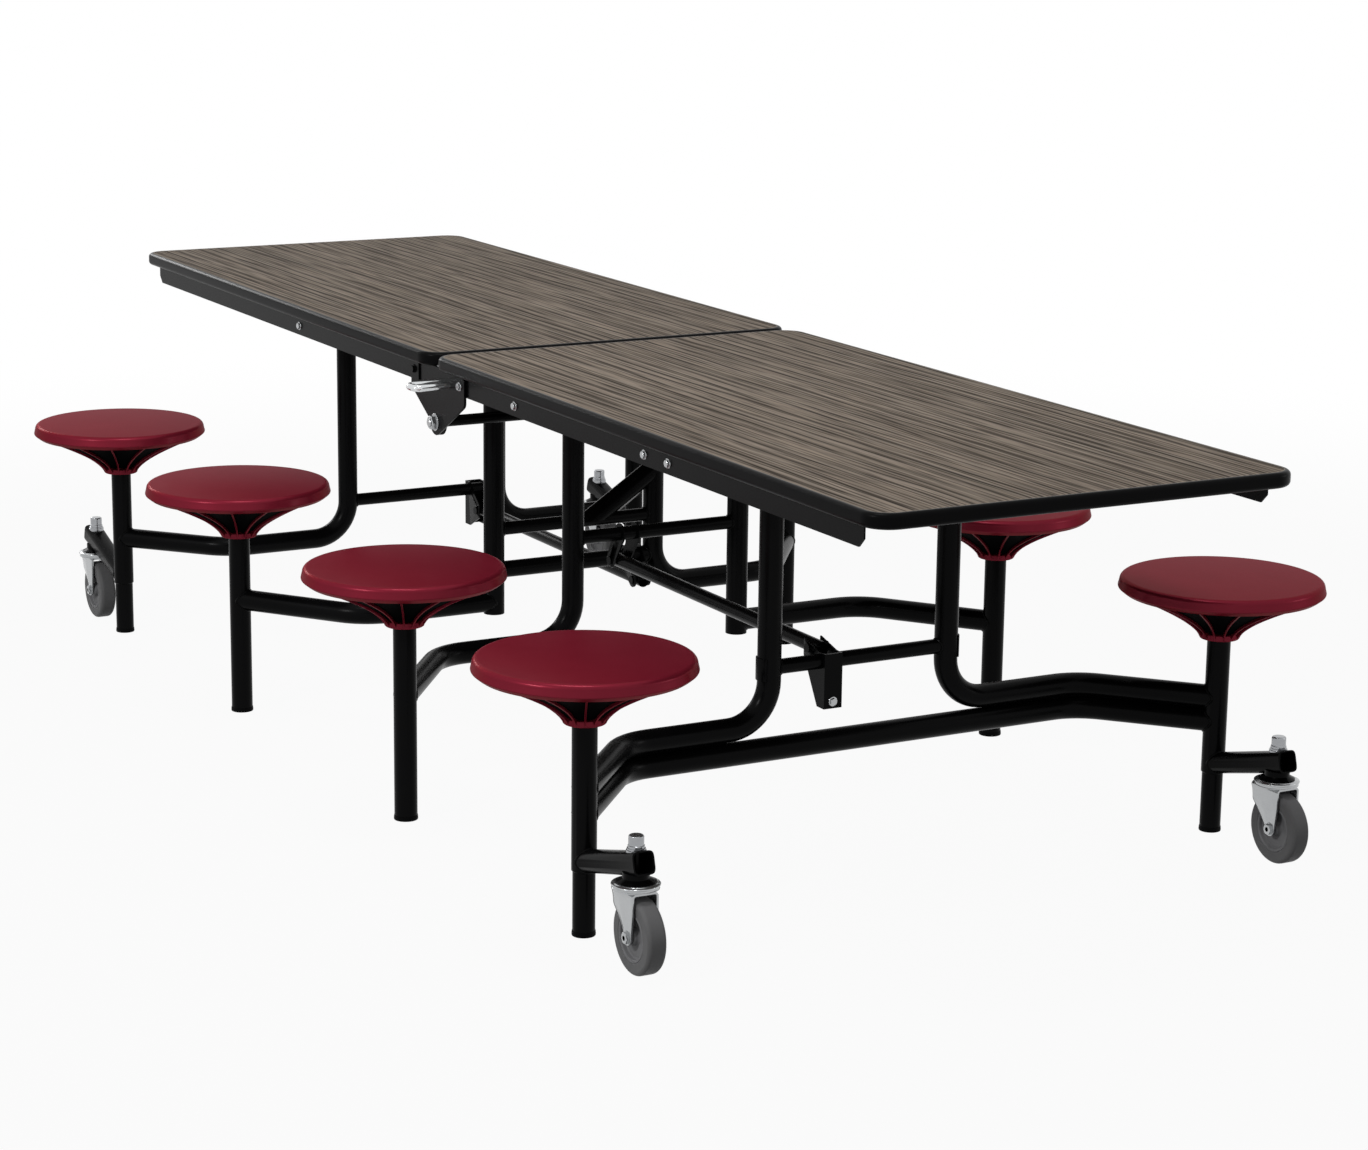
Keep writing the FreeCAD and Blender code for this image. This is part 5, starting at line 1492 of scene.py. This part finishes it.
for half in NEAR_AND_FAR:
    sites = [HALF_TURN[half] @ moved(STEM_X, side * POST_Y) for side in (-1, 1)]
    feet = joined("stem_feet", [(part, site) for site in sites for part in (stem_foot, stem_rod)])
    caps = joined("stem_caps", [(stem_cap, site) for site in sites])
    show_piece(half + "_caster_stem_feet", feet, BLACK_STEEL, half + "_end_frame", [half + "_caster_stems"])
    show_piece(half + "_caster_stem_caps", caps, NICKEL, half + "_end_frame")
print("caster stems")

# %% [markdown]
# ## Weld beads
# Every tube that ends on another one is welded round its end. The bead follows the line in which one tube
# meets the other, so that line is worked out from the two radii, and a tree sweeps a small rippled bead
# along it. The ripples are the frozen puddles of the weld, about four millimetres apart.

# %% Geometry Nodes: a bead along a line
BEAD_R_MM = 2.3
RIPPLE_MM = 4.5
RIPPLE_LOW_SHARE = 0.86
BEAD_STEP_MM = 1.5
BEAD_SIDES = 8


def bead_tree():
    """A rippled bead swept along the edges of a mesh."""
    sizes = [(name, "NodeSocketFloat") for name in ("Bead Radius", "Ripple Length", "Step")]
    tree, given = new_tree("weld_bead", sizes)
    line = add_node(tree, "GeometryNodeMeshToCurve", {"Mesh": given.outputs["Geometry"]})
    even = add_node(tree, "GeometryNodeResampleCurve", {"Curve": line, "Length": given.outputs["Step"]},
                    mode="LENGTH")
    along = add_node(tree, "GeometryNodeSplineParameter").outputs["Length"]
    turns = add_node(tree, "ShaderNodeMath", {0: along, 1: given.outputs["Ripple Length"]},
                     operation="DIVIDE")
    phase = add_node(tree, "ShaderNodeMath", {0: turns, 1: FULL_TURN}, operation="MULTIPLY")
    wave = add_node(tree, "ShaderNodeMath", {0: phase}, operation="SINE")
    swell = add_node(tree, "ShaderNodeMapRange",
                     {"Value": wave, "From Min": -1.0, "From Max": 1.0,
                      "To Min": RIPPLE_LOW_SHARE, "To Max": 1.0})
    bead = add_node(tree, "GeometryNodeCurvePrimitiveCircle",
                    {"Radius": given.outputs["Bead Radius"], "Resolution": BEAD_SIDES}, mode="RADIUS")
    tube = add_node(tree, "GeometryNodeCurveToMesh", {"Curve": even, "Profile Curve": bead, "Scale": swell})
    return end_tree(tree, given, tube)


BEAD_TREE = bead_tree()

# %% Where two tubes meet
TUBE_R = 20.0
WELD_POINTS = 40


def meeting_line(upright, z, radius, way):
    """The closed line on which a tube that starts inside an upright tube leaves its skin, in millimetres."""
    way = Vector(way).normalized()
    across = way.orthogonal().normalized()
    upward = way.cross(across)
    points = []
    for k in range(WELD_POINTS):
        angle = FULL_TURN * k / WELD_POINTS
        start = (across * math.cos(angle) + upward * math.sin(angle)) * radius
        a = way.xy.length_squared
        b = 2 * start.xy.dot(way.xy)
        c = start.xy.length_squared - TUBE_R ** 2
        reach = (-b + math.sqrt(max(b * b - 4 * a * c, 0))) / (2 * a)
        points.append(Vector((*upright, z)) + start + way * reach)
    return points


print("a meeting line has", WELD_POINTS, "points")

# %% Welds of each frame
WELD_INSET = 0.3
BAR_R = 12.7
STRETCHER_R = 15.9
END_LEG_X = 885.0
CENTRE_LEG_X = 168.0
LEG_Y = 172.0
END_BEND_Y = 441.0
INNER_BEND_Y = 440.0
END_TUBES_Z = {"near": (240.0, 198.5), "far": (205.0,)}
END_BAR_Z = {"near": 337.0, "far": 280.0}
CENTRE_TUBE_Z = 220.0
CENTRE_BAR_Z = {"near": 410.0, "far": 360.0}
STRETCHER_Z = 280.0


def end_frame_welds(half):
    """Meeting lines of an end frame: legs, the near frame's bow, crossbar and caster arms."""
    sign = SIGNS[half]
    lines = []
    for side in (-1, 1):
        post = (sign * END_POST_X, side * POST_Y)
        leg = (sign * END_LEG_X, side * LEG_Y)
        way_in = (-sign * (END_POST_X - END_LEG_X), -side * (POST_Y - END_BEND_Y), 0)
        for z in END_TUBES_Z[half]:
            lines.append(meeting_line(post, z, TUBE_R - WELD_INSET, way_in))
        lines.append(meeting_line(leg, END_BAR_Z[half], BAR_R, (0, -side, 0)))
        lines.append(meeting_line(post, ARM_POST_Z, ARM_R, (sign * ARM_REACH, 0, ARM_RISE)))
    return lines


def centre_frame_welds(half):
    """Meeting lines of a centre frame: posts, branch, crossbar, and the far frame's stretcher."""
    sign = SIGNS[half]
    bars = [(CENTRE_BAR_Z[half], BAR_R)]
    if half == "far":
        bars.append((STRETCHER_Z, STRETCHER_R))
    lines = []
    for side in (-1, 1):
        post = (sign * INNER_POST_X, side * POST_Y)
        leg = (sign * CENTRE_LEG_X, side * LEG_Y)
        way_in = (-sign * (INNER_POST_X - CENTRE_LEG_X), -side * (POST_Y - INNER_BEND_Y), 0)
        lines.append(meeting_line(post, CENTRE_TUBE_Z, TUBE_R - WELD_INSET, way_in))
        for z, radius in bars:
            lines.append(meeting_line(leg, z, radius, (0, -side, 0)))
    branch_leg = (sign * CENTRE_LEG_X, sign * LEG_Y)
    lines.append(meeting_line(branch_leg, CENTRE_TUBE_Z, TUBE_R - WELD_INSET, (0, sign, 0)))
    return lines


WELDS = {}
for half in NEAR_AND_FAR:
    WELDS[half + "_end_frame"] = end_frame_welds(half)
    WELDS[half + "_centre_frame"] = centre_frame_welds(half)
print(sum(len(lines) for lines in WELDS.values()), "meeting lines")

# %% Beads along the lines
SEAM_BEND_R = 100.0
SEAM_STEPS = 12
SEAM_END_Y = 250.0


def bow_seams():
    """Open lines in the seams between the near legs and the bow below them, where they run side by side."""
    way_in = Vector((END_LEG_X - END_POST_X, END_BEND_Y - POST_Y)).normalized()
    bend = math.acos(-way_in.y)
    centre = Vector((END_LEG_X + SEAM_BEND_R, END_BEND_Y - SEAM_BEND_R * math.tan(bend / 2)))
    plan = [Vector((END_POST_X, POST_Y)) + way_in * TUBE_R]
    for k in range(SEAM_STEPS + 1):
        angle = math.pi - bend * (1 - k / SEAM_STEPS)
        plan.append(centre + Vector((math.cos(angle), math.sin(angle))) * SEAM_BEND_R)
    plan.append(Vector((END_LEG_X, SEAM_END_Y)))
    seam_z = sum(END_TUBES_Z["near"]) / 2
    return [[Vector((spot.x, side * spot.y, seam_z)) for spot in plan] for side in (-1, 1)]


def bead_mesh(name, lines, seams):
    """Beads along all the closed lines and open seams of one frame."""
    points = []
    edges = []
    for line in (*lines, *seams):
        first = len(points)
        points += [tuple(point * MM) for point in line]
        edges += [(first + k, first + k + 1) for k in range(len(line) - 1)]
        if line not in seams:
            edges.append((first + len(line) - 1, first))
    base = bpy.data.meshes.new(name + "_lines")
    base.from_pydata(points, edges, [])
    sizes = {"Bead Radius": BEAD_R_MM * MM, "Ripple Length": RIPPLE_MM * MM, "Step": BEAD_STEP_MM * MM}
    return grown_mesh(name, base, BEAD_TREE, {**sizes, "Finish": BLACK_STEEL})


for body, lines in WELDS.items():
    seams = bow_seams() if body == "near_end_frame" else []
    beads = bead_mesh(body + "_welds", lines, seams)
    show_piece(body + "_welds", beads, BLACK_STEEL, body)
    print(body, len(lines) + len(seams), "beads,", len(beads.polygons), "faces")

# %% [markdown]
# ## Small pieces of the near end frame
# Where the crossbar meets a leg, a small curved plate backs the leg on the other side. The plate is a
# rectangle swept round a part of the leg's own circle. The saddle bracket on the crossbar is held by one
# plated screw near its foot.

# %% Backing plates and saddle screw
BACKING_ARC_DEG = 100
BACKING_STEPS = 12
BACKING_HALF_HEIGHT = 19.0
BACKING_WALL = 2.5
BACKING_EASE = 0.8
SADDLE_FACE_X = 903.7
SADDLE_Y = -60.0
SADDLE_SCREW_Z = 271.0


def backing_plate(side):
    """A curved plate on the outer side of a leg, about the leg's own axis."""
    outer_r = TUBE_R + BACKING_WALL
    section = ((TUBE_R, -BACKING_HALF_HEIGHT), (outer_r, -BACKING_HALF_HEIGHT),
               (outer_r, BACKING_HALF_HEIGHT), (TUBE_R, BACKING_HALF_HEIGHT))
    work = bmesh.new()
    columns = []
    for k in range(BACKING_STEPS + 1):
        angle = math.radians(BACKING_ARC_DEG * (k / BACKING_STEPS - 1 / 2))
        way = Vector((math.sin(angle), side * math.cos(angle), 0))
        columns.append([work.verts.new((way * radius + Vector((0, 0, z))) * MM) for radius, z in section])
    skin_between(work, columns)
    for end in (columns[0], columns[-1]):
        work.faces.new(end)
    bmesh.ops.recalc_face_normals(work, faces=work.faces)
    sharp = [edge for edge in work.edges if edge.calc_face_angle(0) > math.radians(SHARP_DEG)]
    bmesh.ops.bevel(work, geom=sharp, offset=BACKING_EASE * MM, segments=EASE_STEPS, affect="EDGES",
                    profile=ROUND_BEVEL)
    return mesh_from(work, "backing_plate")


backings = []
for side in (-1, 1):
    backings.append((backing_plate(side), moved(END_LEG_X, side * LEG_Y, END_BAR_Z["near"])))
plates = joined("near_leg_backing_plates", backings)
show_piece("near_leg_backing_plates", plates, BLACK_STEEL, "near_end_frame")
saddle_spot = [((SADDLE_FACE_X, SADDLE_Y, SADDLE_SCREW_Z), (1, 0, 0))]
show_fasteners("near_saddle_screw", screw_mesh, saddle_spot, ZINC, "near_end_frame")
